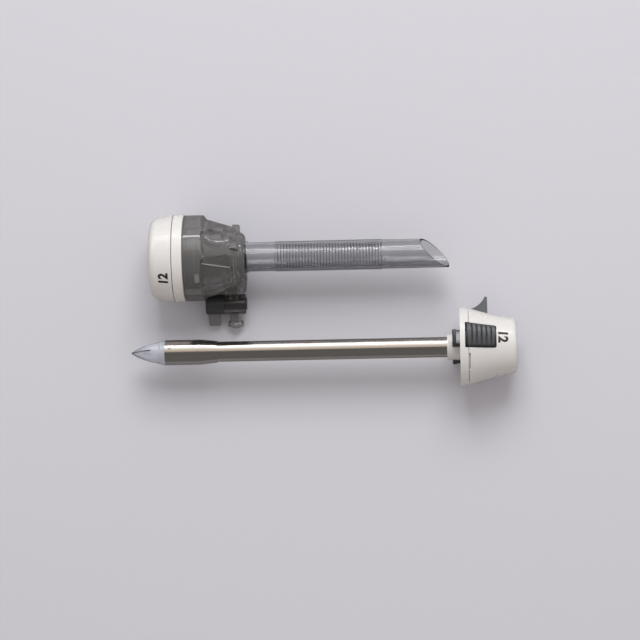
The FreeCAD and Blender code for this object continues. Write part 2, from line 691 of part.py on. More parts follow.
def make_seal_stack():
    """What the carrier holds, in the order in which it is put in."""
    crown = new_body("seal_crown")
    turned(
        crown,
        "crown",
        [
            (crown_start, leaf_bend),
            (crown_start, stack_radius),
            (crown_start + spec.crown_plate, stack_radius),
            (crown_start + spec.crown_plate, leaf_bend),
        ],
    )
    lay(crown, "cannula")

    leaves = new_body("seal_leaves")
    leaves.AllowCompound = True
    leaf_drop = (leaf_bend - spec.leaf_hole_radius) * spec.seal_slope
    turned(
        leaves,
        "leaf_cone",
        [
            (leaf_start, stack_radius),
            (leaf_start, leaf_bend),
            (leaf_start + leaf_drop, spec.leaf_hole_radius),
            (leaf_start + leaf_drop + spec.leaf_sheet, spec.leaf_hole_radius),
            (leaf_start + spec.leaf_sheet, leaf_bend),
            (leaf_start + spec.leaf_sheet, stack_radius),
        ],
    )
    for name, role in (("slit_across", "XZ_Plane"), ("slit_along", "XY_Plane")):
        slit = outline_sketch(leaves, name, rectangle(0, spec.spigot_end, -stack_radius * 2, stack_radius * 2), role)
        extruded(leaves, name, slit, spec.leaf_slit, "Pocket")
    lay(leaves, "cannula")

    lip = new_body("lip_seal")
    lip_bend = leaf_bend + spec.lip_step
    lip_drop = (lip_bend - spec.lip_hole_radius) * spec.seal_slope
    turned(
        lip,
        "lip_cone",
        [
            (lip_start, stack_radius),
            (lip_start, lip_bend),
            (lip_start + lip_drop, spec.lip_hole_radius),
            (lip_start + lip_drop + spec.lip_sheet, spec.lip_hole_radius),
            (lip_start + spec.lip_sheet, lip_bend),
            (lip_start + spec.lip_sheet, stack_radius),
        ],
    )
    lay(lip, "cannula")

    gasket = new_body("float_gasket")
    gasket_end = closing_start - spec.fit_gap
    gasket_bore = stack_radius - spec.gasket_flange
    turned(
        gasket,
        "gasket_channel",
        [
            (gasket_start, stack_radius),
            (gasket_end, stack_radius),
            (gasket_end, gasket_bore),
            (gasket_end - spec.gasket_sheet, gasket_bore),
            (gasket_end - spec.gasket_sheet, stack_radius - spec.gasket_sheet),
            (gasket_start + spec.gasket_sheet, stack_radius - spec.gasket_sheet),
            (gasket_start + spec.gasket_sheet, gasket_bore),
            (gasket_start, gasket_bore),
        ],
    )
    lay(gasket, "cannula")

    closing = new_body("seal_retainer")
    turned(
        closing,
        "closing_ring",
        [
            (closing_start, gasket_bore),
            (closing_start, stack_radius),
            (spec.spigot_end, stack_radius),
            (spec.spigot_end, gasket_bore),
        ],
    )
    lay(closing, "cannula")


def make_housing_collar():
    """White ring glued round the housing's mouth."""
    body = new_body("housing_collar")
    bore = mouth_radius + spec.mouth_wall + spec.fit_gap
    turned(
        body,
        "collar",
        [
            Corner(collar_start, bore),
            Corner(collar_start, collar_radius, rounding=spec.collar_rounding),
            Corner(rim, collar_radius, rounding=spec.collar_rounding),
            Corner(rim, bore),
        ],
    )
    lay(body, "cannula")


def make_valve_housing():
    """Smoke grey housing: band, dome, stopcock boss, finger panels and scallops, suture lugs."""
    body = new_body("valve_housing")
    mouth_outside = mouth_radius + spec.mouth_wall
    dome_start = rim + spec.band_length + spec.band_step
    dome_end = housing_end - spec.dome_nose
    nose_radius = spec.dome_end_radius - spec.dome_nose
    turned(
        body,
        "housing_solid",
        [
            Corner(mouth_end, 0),
            Corner(mouth_end, mouth_outside),
            Corner(rim, mouth_outside),
            Corner(rim, band_radius, rounding=spec.collar_rounding),
            Corner(rim + spec.band_length, band_radius, rounding=spec.collar_rounding),
            Corner(dome_start, dome_start_radius),
            Corner(dome_end, spec.dome_end_radius, bow=spec.dome_bow),
            Corner(housing_end, nose_radius, bow=spec.dome_rounding),
            Corner(housing_end, 0),
        ],
    )
    boss_front = rim + spec.boss_start
    boss = outline_sketch(
        body,
        "stopcock_boss",
        [
            Corner(boss_front, spec.dome_end_radius),
            Corner(boss_front + spec.boss_slope, spec.boss_reach, rounding=spec.boss_rounding),
            Corner(housing_end, spec.boss_reach, rounding=spec.boss_rounding),
            Corner(housing_end, nose_radius),
        ],
    )
    extruded(body, "stopcock_boss", boss, spec.boss_width)

    panel = outline_sketch(
        body,
        "finger_panel",
        [
            (rim + spec.panel_start, spec.panel_near),
            (rim + spec.panel_end - spec.panel_slope, spec.panel_far),
            (rim + spec.panel_end, spec.panel_far + spec.panel_slope),
            (rim + spec.panel_end, band_radius + spec.cut_past),
            (rim + spec.panel_start, band_radius + spec.cut_past),
        ],
        role="XZ_Plane",
    )
    panel_cut = extruded(body, "finger_panel", panel, spec.panel_up, "Pocket", other_length=spec.panel_down)
    mirrored(body, "finger_panels", [panel_cut])

    scallop = body.newObject("PartDesign::SubtractiveEllipsoid", "finger_scallop")
    scallop.AttachmentSupport = (plane_of(body, "YZ_Plane"), [""])
    scallop.MapMode = "FlatFace"
    scallop.setExpression("Radius1", spec.scallop_long.text)
    scallop.setExpression("Radius2", spec.scallop_deep.text)
    scallop.setExpression("Radius3", spec.scallop_wide.text)
    scallop.setExpression(
        "AttachmentOffset",
        placement_text(
            spec.scallop_reach * cosine(spec.scallop_angle),
            spec.scallop_reach * sine(spec.scallop_angle),
            rim + spec.scallop_station,
            spec.scallop_angle,
            axis="0; 0; 1",
        ),
    )
    mirrored(body, "finger_scallops", [scallop])

    lug_start = rim + spec.lug_station - spec.lug_length / 2
    lug_end = rim + spec.lug_station + spec.lug_length / 2
    lug = outline_sketch(
        body,
        "suture_lug",
        [
            Corner(lug_start, spec.dome_end_radius - 1),
            Corner(lug_start, spec.lug_reach, rounding=spec.lug_rounding),
            Corner(lug_end, spec.lug_reach, rounding=spec.lug_rounding),
            Corner(lug_end, spec.dome_end_radius - 1),
        ],
        offset=placement_text(0, 0, 0, spec.lug_angle),
    )
    lug_pad = extruded(body, "suture_lug", lug, spec.lug_thickness)
    mirrored(body, "suture_lugs", [lug_pad])

    mark_radius = band_radius + spec.finger_mark_proud
    mark_start = rim + spec.finger_mark_start
    mark_sketch = new_sketch(
        body,
        "finger_mark_outline",
        "XY_Plane",
        placement_text(0, 0, 0, spec.finger_mark_angle)
        + " * "
        + placement_text(mark_start + spec.finger_mark_length / 2, mark_radius, 0, -90),
    )
    half_length = spec.finger_mark_length / 2
    half_width = spec.finger_mark_width / 2
    add_outline(
        mark_sketch,
        rectangle(-half_length, half_length, -half_width, half_width, rounding=half_length * 0.8),
    )
    mark_height = mark_radius - spec.chamber_radius - spec.mouth_wall
    mark_pad = extruded(body, "finger_mark", mark_sketch, mark_height, both_sides=False, reverse=True)
    mirrored(body, "finger_marks", [mark_pad])

    flange_bore = spec.flange_sleeve_radius + spec.fit_gap
    gland_end = flange_seat + spec.ring_cord * 2 + spec.fit_gap * 2
    turned(
        body,
        "housing_bore",
        [
            (mouth_end - 1, 0),
            (mouth_end - 1, mouth_radius),
            (shoulder, mouth_radius),
            (shoulder, spec.chamber_radius),
            (rim + spec.chamber_depth, spec.chamber_radius),
            (rim + spec.chamber_depth + spec.bore_taper, flange_bore),
            (flange_seat, flange_bore),
            (flange_seat, spec.neck_radius + spec.ring_cord * 2 + spec.fit_gap),
            (gland_end, spec.neck_radius + spec.ring_cord * 2 + spec.fit_gap),
            (gland_end, spec.neck_radius + spec.fit_gap),
            (housing_end + 1, spec.neck_radius + spec.fit_gap),
            (housing_end + 1, 0),
        ],
        kind="Groove",
    )
    inlet = rim + spec.inlet_station
    socket_floor = spec.boss_reach - spec.stub_depth
    socket = new_sketch(
        body,
        "stub_socket_outline",
        "XZ_Plane",
        placement_text(0, 0, -socket_floor, 0),
    )
    add_circle(socket, inlet, 0, spec.stub_radius + spec.fit_gap)
    extruded(body, "stub_socket", socket, spec.stub_depth * 2, "Pocket", both_sides=False)
    channel = outline_sketch(
        body,
        "gas_channel",
        [
            (inlet - spec.passage_radius, socket_floor + spec.passage_radius / 2),
            (inlet + spec.passage_radius, socket_floor + spec.passage_radius / 2),
            (rim + spec.chamber_depth, spec.chamber_radius - 1),
            (rim + spec.chamber_depth - spec.passage_radius * 2, spec.chamber_radius - 1),
        ],
    )
    extruded(body, "gas_channel", channel, spec.passage_radius * 2, "Pocket")
    lay(body, "cannula")


def make_duckbill():
    """Rubber duckbill whose lips close flat, and the ring that clamps its flange."""
    flange_face = shoulder - spec.duckbill_flange
    flange_radius = mouth_radius - spec.fit_gap * 2
    quarter_turn = "rotation(vector(0; 1; 0); 90)"

    def loft_between(name, root_radius, half_width, half_lip):
        ring = doc.addObject("Part::Circle", name + "_root")
        ring.setExpression("Radius", root_radius.text)
        ring.setExpression("Placement", f"placement(vector({flange_face.text}; 0; 0); {quarter_turn})")
        lips = doc.addObject("Part::Ellipse", name + "_lips")
        lips.setExpression("MajorRadius", half_width.text)
        lips.setExpression("MinorRadius", half_lip.text)
        lips.setExpression(
            "Placement",
            f"placement(vector({(shoulder + spec.duckbill_length).text}; 0; 0); {quarter_turn})",
        )
        loft = doc.addObject("Part::Loft", name)
        loft.Sections = [ring, lips]
        loft.Solid = True
        loft.Ruled = True
        return loft

    outside = loft_between(
        "bill_outside",
        spec.duckbill_root,
        spec.duckbill_half_width,
        spec.duckbill_half_lip,
    )
    inside = loft_between(
        "bill_inside",
        spec.duckbill_root - spec.duckbill_wall,
        spec.duckbill_half_width - spec.duckbill_wall,
        spec.duckbill_slit,
    )
    flange = doc.addObject("Part::Cylinder", "bill_flange")
    flange.setExpression("Radius", flange_radius.text)
    flange.setExpression("Height", (spec.duckbill_flange - spec.fit_gap).text)
    flange.setExpression("Placement", f"placement(vector({flange_face.text}; 0; 0); {quarter_turn})")
    whole = doc.addObject("Part::Fuse", "bill_whole")
    whole.Base = outside
    whole.Tool = flange
    bill = doc.addObject("Part::Cut", "duckbill_valve")
    bill.Base = whole
    bill.Tool = inside
    pieces.append(bill)
    lay(bill, "cannula")

    body = new_body("duckbill_retainer")
    ring_end = flange_face - spec.fit_gap
    turned(
        body,
        "clamp_ring",
        [
            (ring_end - spec.clamp_ring, spec.clamp_ring_bore),
            (ring_end - spec.clamp_ring, flange_radius),
            (ring_end, flange_radius),
            (ring_end, spec.clamp_ring_bore),
        ],
    )
    lay(body, "cannula")


def make_cannula_sleeve():
    """Clear sleeve: flange, thick root, grip ribs and an end cut at 45 degrees."""
    body = new_body("cannula_sleeve")
    flange_start = flange_seat - spec.fit_gap - spec.flange_sleeve_plate
    neck_end = housing_end + spec.neck_proud
    turned(
        body,
        "sleeve_tube",
        [
            (flange_start, spec.sleeve_bore),
            (flange_start, spec.flange_sleeve_radius),
            (flange_start + spec.flange_sleeve_plate, spec.flange_sleeve_radius),
            (flange_start + spec.flange_sleeve_plate, spec.neck_radius),
            (neck_end, spec.neck_radius),
            (neck_end, spec.sleeve_radius),
            (sleeve_tip, spec.sleeve_radius),
            (sleeve_tip, spec.sleeve_bore),
        ],
    )
    first_rib = housing_end + spec.rib_start
    wall_middle = (spec.sleeve_radius + spec.sleeve_bore) / 2
    rib = turned(
        body,
        "grip_rib",
        [
            (first_rib, wall_middle),
            (first_rib, spec.sleeve_radius),
            (first_rib + spec.rib_pitch * 0.5, spec.sleeve_radius + spec.rib_height),
            (first_rib + spec.rib_pitch, spec.sleeve_radius),
            (first_rib + spec.rib_pitch, wall_middle),
        ],
    )
    ribs = repeated(body, "LinearPattern", "grip_ribs", [rib])
    ribs.Direction = ([item for item in body.Origin.OriginFeatures if item.Role == "X_Axis"][0], [""])
    ribs.setExpression("Length", (spec.rib_pitch * (spec.rib_count - 1)).text)
    ribs.setExpression("Occurrences", spec.rib_count.text)
    bevel = outline_sketch(
        body,
        "bevel",
        [
            (sleeve_tip + 1, spec.sleeve_radius + 1),
            (sleeve_tip - spec.sleeve_radius * 2 - 1, -spec.sleeve_radius - 1),
            (sleeve_tip + 1, -spec.sleeve_radius - 1),
        ],
    )
    extruded(body, "bevel", bevel, spec.sleeve_radius * 4, "Pocket")
    lay(body, "cannula")

    ring = doc.addObject("Part::Torus", "sleeve_o_ring")
    ring.setExpression("Radius1", (spec.neck_radius + spec.ring_cord + spec.fit_gap / 2).text)
    ring.setExpression("Radius2", (spec.ring_cord - spec.fit_gap / 2).text)
    pieces.append(ring)
    middle = flange_seat + spec.ring_cord + spec.fit_gap
    lay(ring, "cannula", placement_text(middle, 0, 0, 90, axis="0; 1; 0"))


inlet_station = rim + spec.inlet_station
barrel_bore = spec.plug_radius + spec.running_gap


def make_stopcock_body():
    """Fixed half of the stopcock: barrel, inlet stub, and the female luer lock port."""
    body = new_body("stopcock_body")
    barrel_face = rim + spec.barrel_start
    barrel_back = barrel_face + spec.barrel_length
    turned(
        body,
        "barrel",
        [
            Corner(barrel_face, 0),
            Corner(barrel_face, spec.barrel_radius),
            Corner(barrel_back, spec.barrel_radius, rounding=spec.cock_rounding),
            Corner(barrel_back, 0),
        ],
    )
    stub = new_sketch(body, "inlet_stub_outline", "XZ_Plane")
    add_circle(stub, inlet_station, 0, spec.stub_radius)
    stub_length = spec.cock_reach - spec.boss_reach + spec.stub_depth - spec.fit_gap
    extruded(body, "inlet_stub", stub, stub_length, both_sides=False)
    port_axis = placement_text(inlet_station, 0, 0, 0)
    mouth = spec.port_reach - spec.cock_reach
    rim_start = mouth - spec.luer_lug_height
    luer_floor = mouth - spec.luer_depth
    well_radius = spec.luer_mouth_radius - spec.luer_depth * spec.luer_taper
    turned(
        body,
        "luer_port",
        [
            Corner(0, 0),
            Corner(spec.port_neck_radius, 0),
            Corner(spec.port_neck_radius, rim_start),
            Corner(spec.luer_rim_radius, rim_start + spec.luer_rim_slope),
            Corner(spec.luer_rim_radius, mouth, rounding=spec.luer_rim_rounding),
            Corner(0, mouth),
        ],
        offset=port_axis,
        axis="V_Axis",
    )
    lug = outline_sketch(
        body,
        "luer_lug",
        rectangle(
            inlet_station - spec.luer_lug_radius,
            inlet_station + spec.luer_lug_radius,
            rim_start + spec.luer_lug_step,
            mouth,
            rounding=spec.luer_lug_rounding,
        ),
    )
    extruded(body, "luer_lug", lug, spec.port_neck_radius)
    turned(
        body,
        "luer_bore",
        [
            (0, luer_floor - spec.luer_well),
            (well_radius, luer_floor - spec.luer_well),
            (well_radius, luer_floor),
            (spec.luer_mouth_radius, mouth),
            (spec.luer_mouth_radius, mouth + 1),
            (0, mouth + 1),
        ],
        kind="Groove",
        offset=port_axis,
        axis="V_Axis",
    )
    turned(
        body,
        "barrel_bore",
        [
            (barrel_face - 1, 0),
            (barrel_face - 1, barrel_bore),
            (barrel_back + 1, barrel_bore),
            (barrel_back + 1, 0),
        ],
        kind="Groove",
    )
    passage = new_sketch(body, "passage_outline", "XZ_Plane")
    add_circle(passage, inlet_station, 0, spec.passage_radius)
    extruded(body, "passage", passage, spec.port_reach * 2, "Pocket")
    lay(body, "cannula", placement_text(0, spec.cock_reach, 0, 0))


def make_stopcock_lever():
    """Key of the stopcock: plug with its cross bore, hub and tapering paddle."""
    body = new_body("stopcock_lever")
    hub_start = rim + spec.hub_start
    barrel_face = rim + spec.barrel_start
    barrel_back = barrel_face + spec.barrel_length
    hub_end = barrel_face - spec.running_gap * 2
    lip_start = barrel_back + spec.running_gap * 2
    turned(
        body,
        "key",
        [
            Corner(hub_start, 0),
            Corner(hub_start, spec.barrel_radius, rounding=spec.cock_rounding),
            Corner(hub_end, spec.barrel_radius),
            Corner(hub_end, spec.plug_radius),
            Corner(lip_start, spec.plug_radius),
            Corner(lip_start, spec.plug_radius + spec.plug_lip),
            Corner(lip_start + spec.plug_lip, spec.plug_radius),
            Corner(lip_start + spec.plug_lip, 0),
        ],
    )
    middle = rim + spec.paddle_station
    paddle_length = spec.paddle_reach - spec.cock_reach
    paddle = outline_sketch(
        body,
        "paddle",
        [
            Corner(middle - spec.paddle_root_width / 2, 0),
            Corner(middle + spec.paddle_root_width / 2, 0),
            Corner(middle + spec.paddle_tip_width / 2, paddle_length, rounding=spec.cock_rounding),
            Corner(middle - spec.paddle_tip_width / 2, paddle_length, rounding=spec.cock_rounding),
        ],
    )
    extruded(body, "paddle", paddle, spec.paddle_plate)
    cross = new_sketch(body, "cross_bore_outline", "XZ_Plane")
    add_circle(cross, inlet_station, 0, spec.passage_radius)
    extruded(body, "cross_bore", cross, spec.barrel_radius * 3, "Pocket")
    lay(body, "cannula", placement_text(0, spec.cock_reach, 0, 0))


# Stations along the obturator, from its point

tube_bore = spec.tube_radius - spec.tube_wall
plug_end = spec.tip_seat + spec.tip_plug_length
tube_start = plug_end + 1
ferrule_bore = spec.ferrule_radius - spec.ferrule_wall


def make_clear_tip():
    """Clear hollow tip: an ogive with two fine ridges, and the plug that the ferrule holds."""
    body = new_body("clear_tip")
    plug_radius = ferrule_bore - spec.fit_gap
    hollow = plug_radius - spec.tip_wall
    turned(
        body,
        "tip",
        [
            Corner(0, 0),
            Corner(0, spec.tip_blunt),
            Corner(spec.tip_nose, spec.tip_nose_radius, bow=spec.tip_bow),
            Corner(spec.tip_waist, spec.tip_waist_radius),
            Corner(spec.tip_flare, spec.tip_flare_radius),
            Corner(spec.tip_seat - spec.tip_edge, spec.ferrule_radius),
            Corner(spec.tip_seat, spec.ferrule_radius),
            Corner(spec.tip_seat, plug_radius),
            Corner(plug_end, plug_radius),
            Corner(plug_end, hollow),
            Corner(spec.tip_flare, hollow),
            Corner(spec.tip_hollow, 0),
        ],
    )
    ridge = outline_sketch(
        body,
        "ridge",
        [
            Corner(spec.ridge_start, spec.tip_blunt * 2),
            Corner(spec.tip_nose, spec.tip_nose_radius + spec.ridge_proud, bow=spec.tip_bow),
            Corner(spec.tip_nose, spec.tip_nose_radius - spec.ridge_root),
        ],
        role="XZ_Plane",
    )
    pad = extruded(body, "ridge", ridge, spec.ridge_sheet)
    mirrored(body, "ridges", [pad])
    lay(body, "obturator")


def make_shaft():
    """Steel ferrule and steel tube, and the stop ring that keeps the tube in the handle."""
    ferrule = new_body("tube_ferrule")
    tube_seat = spec.tube_radius + spec.fit_gap
    start = spec.tip_seat + spec.fit_gap
    turned(
        ferrule,
        "ferrule",
        [
            (start, ferrule_bore),
            (start, spec.ferrule_radius),
            (spec.ferrule_taper_start, spec.ferrule_radius),
            (spec.ferrule_end, spec.ferrule_end_radius),
            (spec.ferrule_end, tube_seat),
            (plug_end + spec.fit_gap * 2, tube_seat),
            (plug_end + spec.fit_gap * 2, ferrule_bore),
        ],
    )
    hole = new_sketch(ferrule, "snap_hole_outline")
    add_circle(hole, spec.snap_hole_station, 0, spec.snap_hole_radius)
    extruded(ferrule, "snap_hole", hole, spec.ferrule_radius * 4, "Pocket")
    lay(ferrule, "obturator")

    tube = new_body("obturator_tube")
    turned(
        tube,
        "tube",
        [
            (tube_start, tube_bore),
            (tube_start, spec.tube_radius),
            (spec.tube_end, spec.tube_radius),
            (spec.tube_end, tube_bore),
        ],
    )
    lay(tube, "obturator")

    ring = new_body("tube_stop_ring")
    ring_start = spec.flange_face + spec.base_plate + spec.hub_height + spec.fit_gap
    turned(
        ring,
        "stop_ring",
        [
            (ring_start, tube_seat),
            (ring_start, spec.stop_ring_radius),
            (ring_start + spec.stop_ring_plate, spec.stop_ring_radius),
            (ring_start + spec.stop_ring_plate, tube_seat),
        ],
    )
    lay(ring, "obturator")


def button_plan(gap, flange_gap):
    """Outline of a latch button seen from above, widened by a gap all round."""
    start = spec.button_start - flange_gap
    end = spec.button_end + gap
    start_half = spec.button_start_width / 2 + gap
    end_half = spec.button_end_width / 2 + gap
    return start, end, start_half, end_half


def cut_button_windows(body):
    start, end, start_half, end_half = button_plan(spec.window_gap, spec.window_gap * 2)
    window = outline_sketch(
        body,
        "button_window",
        [
            Corner(start, -start_half, rounding=spec.button_rounding),
            Corner(end, -end_half, rounding=spec.button_rounding),
            Corner(end, end_half, rounding=spec.button_rounding),
            Corner(start, start_half, rounding=spec.button_rounding),
        ],
    )
    extruded(body, "button_window", window, spec.flange_radius * 3, "Pocket")


shell_start = spec.seam_station + spec.seam_gap / 2
base_end = spec.seam_station - spec.seam_gap / 2
rim_outside = spec.seam_radius - spec.shell_wall - spec.fit_gap * 2
rim_inside = rim_outside - spec.rim_taper - spec.rim_wall


def make_handle_base():
    """White boss and flange, with two slots for the latch hooks."""
    body = new_body("handle_base")
    bore = spec.tube_radius + spec.fit_gap
    plate_end = spec.flange_face + spec.base_plate
    rim_end = spec.seam_station + spec.rim_height
    turned(
        body,
        "base",
        [
            Corner(spec.boss_face, bore),
            Corner(spec.boss_face, spec.handle_boss_radius),
            Corner(spec.flange_face, spec.handle_boss_radius),
            Corner(spec.flange_face, spec.flange_radius),
            Corner(base_end, spec.seam_radius),
            Corner(base_end, rim_outside),
            Corner(rim_end, rim_outside - spec.rim_taper),
            Corner(rim_end, rim_inside),
            Corner(plate_end, rim_inside),
            Corner(plate_end, bore + spec.hub_wall),
            Corner(plate_end + spec.hub_height, bore + spec.hub_wall),
            Corner(plate_end + spec.hub_height, bore),
        ],
    )
    cut_rim_windows(body)
    slot = outline_sketch(
        body,
        "hook_slot",
        rectangle(
            -spec.arm_width / 2 - spec.window_gap,
            spec.arm_width / 2 + spec.window_gap,
            spec.arm_inner - spec.latch_travel - spec.window_gap * 2,
            spec.arm_outer + spec.window_gap,
        ),
        role="YZ_Plane",
        offset=placement_text(0, 0, spec.flange_face, 0),
    )
    cut = extruded(body, "hook_slot", slot, spec.base_plate * 3, "Pocket")
    around_axis(body, "hook_slots", [cut], 2)
    lay(body, "obturator")


def cut_rim_windows(body):
    """The button windows reach into the flange's rim but leave its plate whole inside."""
    start, end, start_half, end_half = button_plan(spec.window_gap, spec.window_gap * 2)
    inside = spec.arm_outer - spec.window_gap * 3
    window = outline_sketch(
        body,
        "button_window",
        rectangle(start, end, inside, spec.flange_radius + spec.cut_past),
        role="XZ_Plane",
    )
    cut = extruded(body, "button_window", window, start_half * 2, "Pocket")
    around_axis(body, "button_windows", [cut], 2)


def make_handle_shell():
    """White shell with two button windows, a slot for the fin and ears for the latches."""
    body = new_body("handle_shell")
    guide_hole = spec.guide_bore + spec.guide_wall + spec.fit_gap
    inner_end = spec.handle_end - spec.shell_wall
    turned(
        body,
        "shell",
        [
            Corner(shell_start, spec.seam_radius),
            Corner(spec.shell_waist, spec.shell_waist_radius, bow=-spec.shell_bow),
            Corner(spec.handle_end, spec.handle_end_radius, rounding=spec.handle_rounding),
            Corner(spec.handle_end, guide_hole),
            Corner(inner_end, guide_hole),
            Corner(inner_end, spec.handle_end_radius - spec.handle_rounding),
            Corner(spec.shell_waist, spec.shell_waist_radius - spec.shell_wall),
            Corner(shell_start, spec.seam_radius - spec.shell_wall, bow=spec.shell_bow),
        ],
    )
    ear_front = spec.pivot_station - spec.ear_half
    ear_back = spec.pivot_station + spec.ear_half
    ear_corners = [
        Corner(ear_front, spec.pivot_height - spec.ear_drop, rounding=spec.ear_rounding),
        Corner(ear_back, spec.pivot_height - spec.ear_drop, rounding=spec.ear_rounding),
        Corner(ear_back, spec.pivot_height + spec.ear_rise),
        Corner(ear_front, spec.pivot_height + spec.ear_rise),
    ]
    ears = []
    for side in (1, -1):
        stand = (spec.arm_width / 2 + spec.fit_gap * 4) * side
        name = "right_ear" if side == 1 else "left_ear"
        ear = outline_sketch(body, name, ear_corners, "XZ_Plane", placement_text(0, 0, stand, 0))
        ears.append(extruded(body, name, ear, spec.ear_plate, both_sides=False, reverse=side == -1))
    around_axis(body, "latch_ears", ears, 2)
    holes = new_sketch(body, "ear_holes_outline", "XZ_Plane")
    add_circle(holes, spec.pivot_station, spec.pivot_height, spec.pivot_radius + spec.running_gap)
    add_circle(holes, spec.pivot_station, -spec.pivot_height, spec.pivot_radius + spec.running_gap)
    extruded(body, "ear_holes", holes, spec.pivot_length + spec.window_gap, "Pocket")
    cut_button_windows(body)

    fin_half = tangent_angle(spec.fin_thickness / 2 / spec.shell_waist_radius) + spec.fin_side_gap
    turn_slot = turned(
        body,
        "fin_slot",
        [
            (spec.fin_start - spec.window_gap, spec.cam_radius),
            (spec.fin_end + spec.window_gap, spec.cam_radius),
            (spec.fin_end + spec.window_gap, spec.flange_radius),
            (spec.fin_start - spec.window_gap, spec.flange_radius),
        ],
        kind="Groove",
        offset=placement_text(0, 0, 0, -spec.fin_turn / 2),
    )
    turn_slot.Midplane = True
    turn_slot.setExpression("Angle", (spec.fin_turn + fin_half * 2).text)

    notch = turned(
        body,
        "seam_notch",
        [
            (shell_start - 0.1, spec.seam_radius - spec.notch_depth),
            (shell_start + spec.notch_height, spec.seam_radius - spec.notch_depth),
            (shell_start + spec.notch_height, spec.flange_radius),
            (shell_start - 0.1, spec.flange_radius),
        ],
        kind="Groove",
        offset=placement_text(0, 0, 0, spec.notch_start + spec.notch_sweep / 2),
    )
    notch.Midplane = True
    notch.setExpression("Angle", spec.notch_sweep.text)
    lay(body, "obturator")


def cut_button_grooves(body):
    """Slots with round ends across the button; each is deepest in the middle, as the face is curved."""
    length = spec.button_end - spec.button_start
    fall = spec.button_start_radius - spec.button_end_radius
    slope = tangent_angle(fall / length)
    floor = spec.button_start_radius - spec.button_groove_depth
    grooves = new_sketch(
        body,
        "button_grooves_outline",
        "XY_Plane",
        placement_text(spec.button_start, 0, floor, slope, axis="0; 1; 0"),
    )
    rib_step = root(length * length + fall * fall) / spec.button_rib_count
    half_taper = (spec.button_start_width - spec.button_end_width) / 2 / spec.button_rib_count
    half_groove = spec.button_groove / 2
    for index in range(1, int(spec.button_rib_count.value)):
        middle = rib_step * index
        half_width = spec.button_start_width / 2 - half_taper * index - spec.button_margin
        add_outline(
            grooves,
            rectangle(
                middle - half_groove,
                middle + half_groove,
                -half_width,
                half_width,
                rounding=half_groove * 0.9,
            ),
        )
    extruded(body, "button_grooves", grooves, spec.cut_past, "Pocket", both_sides=False, reverse=True)


def make_latch(name, flip):
    """Ribbed release button in one piece with its arm, hook and trunnion."""
    body = new_body(name)
    foot_end = spec.button_start + spec.button_wall
    heel = spec.pivot_station - spec.heel_reach
    lever_top = spec.pivot_height + spec.lever_half
    lever_bottom = spec.pivot_height - spec.lever_half
    button_length = spec.button_end - spec.button_start
    button_fall = spec.button_start_radius - spec.button_end_radius
    foot_face = spec.button_start_radius - button_fall * spec.button_wall / button_length
    turned(
        body,
        "latch_profile",
        [
            Corner(spec.hook_start, spec.arm_inner),
            Corner(spec.hook_start, spec.hook_reach - spec.hook_lead),
            Corner(spec.hook_start + spec.hook_lead, spec.hook_reach),
            Corner(spec.hook_start + spec.hook_length, spec.hook_reach),
            Corner(spec.hook_start + spec.hook_length + spec.hook_back, spec.arm_outer),
            Corner(spec.button_start, spec.arm_outer),
            Corner(spec.button_start, spec.button_start_radius),
            Corner(spec.button_end, spec.button_end_radius),
            Corner(spec.button_end, spec.pivot_height + spec.button_nose),
            Corner(spec.pivot_station + spec.lever_half, lever_top),
            Corner(spec.pivot_station + spec.lever_half, lever_bottom),
            Corner(heel + spec.heel_slope, lever_bottom),
            Corner(heel, lever_top),
            Corner(heel, spec.button_end_radius - spec.button_face),
            Corner(foot_end, foot_face - spec.button_face),
            Corner(foot_end, spec.arm_inner),
        ],
        role="XZ_Plane",
        angle=64,
    )
    start, end, start_half, end_half = button_plan(0, 0)
    arm_half = spec.arm_width / 2
    trim = outline_sketch(
        body,
        "latch_plan",
        [
            Corner(spec.hook_start - 1, -arm_half),
            Corner(start, -arm_half),
            Corner(start, -start_half, rounding=spec.button_rounding),
            Corner(end, -end_half, rounding=spec.button_rounding),
            Corner(end, -arm_half),
            Corner(spec.pivot_station + 2, -arm_half),
            Corner(spec.pivot_station + 2, arm_half),
            Corner(end, arm_half),
            Corner(end, end_half, rounding=spec.button_rounding),
            Corner(start, start_half, rounding=spec.button_rounding),
            Corner(start, arm_half),
            Corner(spec.hook_start - 1, arm_half),
        ],
    )
    add_outline(
        trim,
        rectangle(spec.hook_start - 2, spec.handle_end, -spec.flange_radius, spec.flange_radius),
    )
    extruded(body, "latch_plan", trim, spec.flange_radius * 3, "Pocket")
    cut_button_grooves(body)
    pivot = new_sketch(body, "trunnion_outline", "XZ_Plane")
    add_circle(pivot, spec.pivot_station, spec.pivot_height, spec.pivot_radius)
    extruded(body, "trunnion", pivot, spec.pivot_length)
    lay(body, "obturator", placement_text(0, 0, 0, 180) if flip else None)


def make_latch_spring(name, flip):
    """Wire spring that stands on the stop ring and lifts the button."""
    seat = spec.stop_ring_radius + spec.spring_wire + spec.fit_gap
    height = spec.arm_inner - spec.spring_wire - spec.fit_gap - seat
    coil = doc.addObject("Part::Helix", name + "_coil")
    coil.setExpression("Pitch", spec.spring_pitch.text)
    coil.setExpression("Height", height.text)
    coil.setExpression("Radius", spec.spring_radius.text)
    wire = doc.addObject("Part::Circle", name + "_wire")
    wire.setExpression("Radius", spec.spring_wire.text)
    wire.setExpression("Placement", placement_text(spec.spring_radius, 0, 0, 90))
    spring = doc.addObject("Part::Sweep", name)
    spring.Sections = [wire]
    spring.Spine = (coil, ["Edge1"])
    spring.Solid = True
    spring.Frenet = True
    pieces.append(spring)
    local = placement_text(spec.spring_station, 0, seat, 0)
    if flip:
        local = placement_text(0, 0, 0, 180) + " * " + local
    lay(spring, "obturator", local)


pad_outer = spec.cam_bore + spec.cam_offset - spec.running_gap * 3


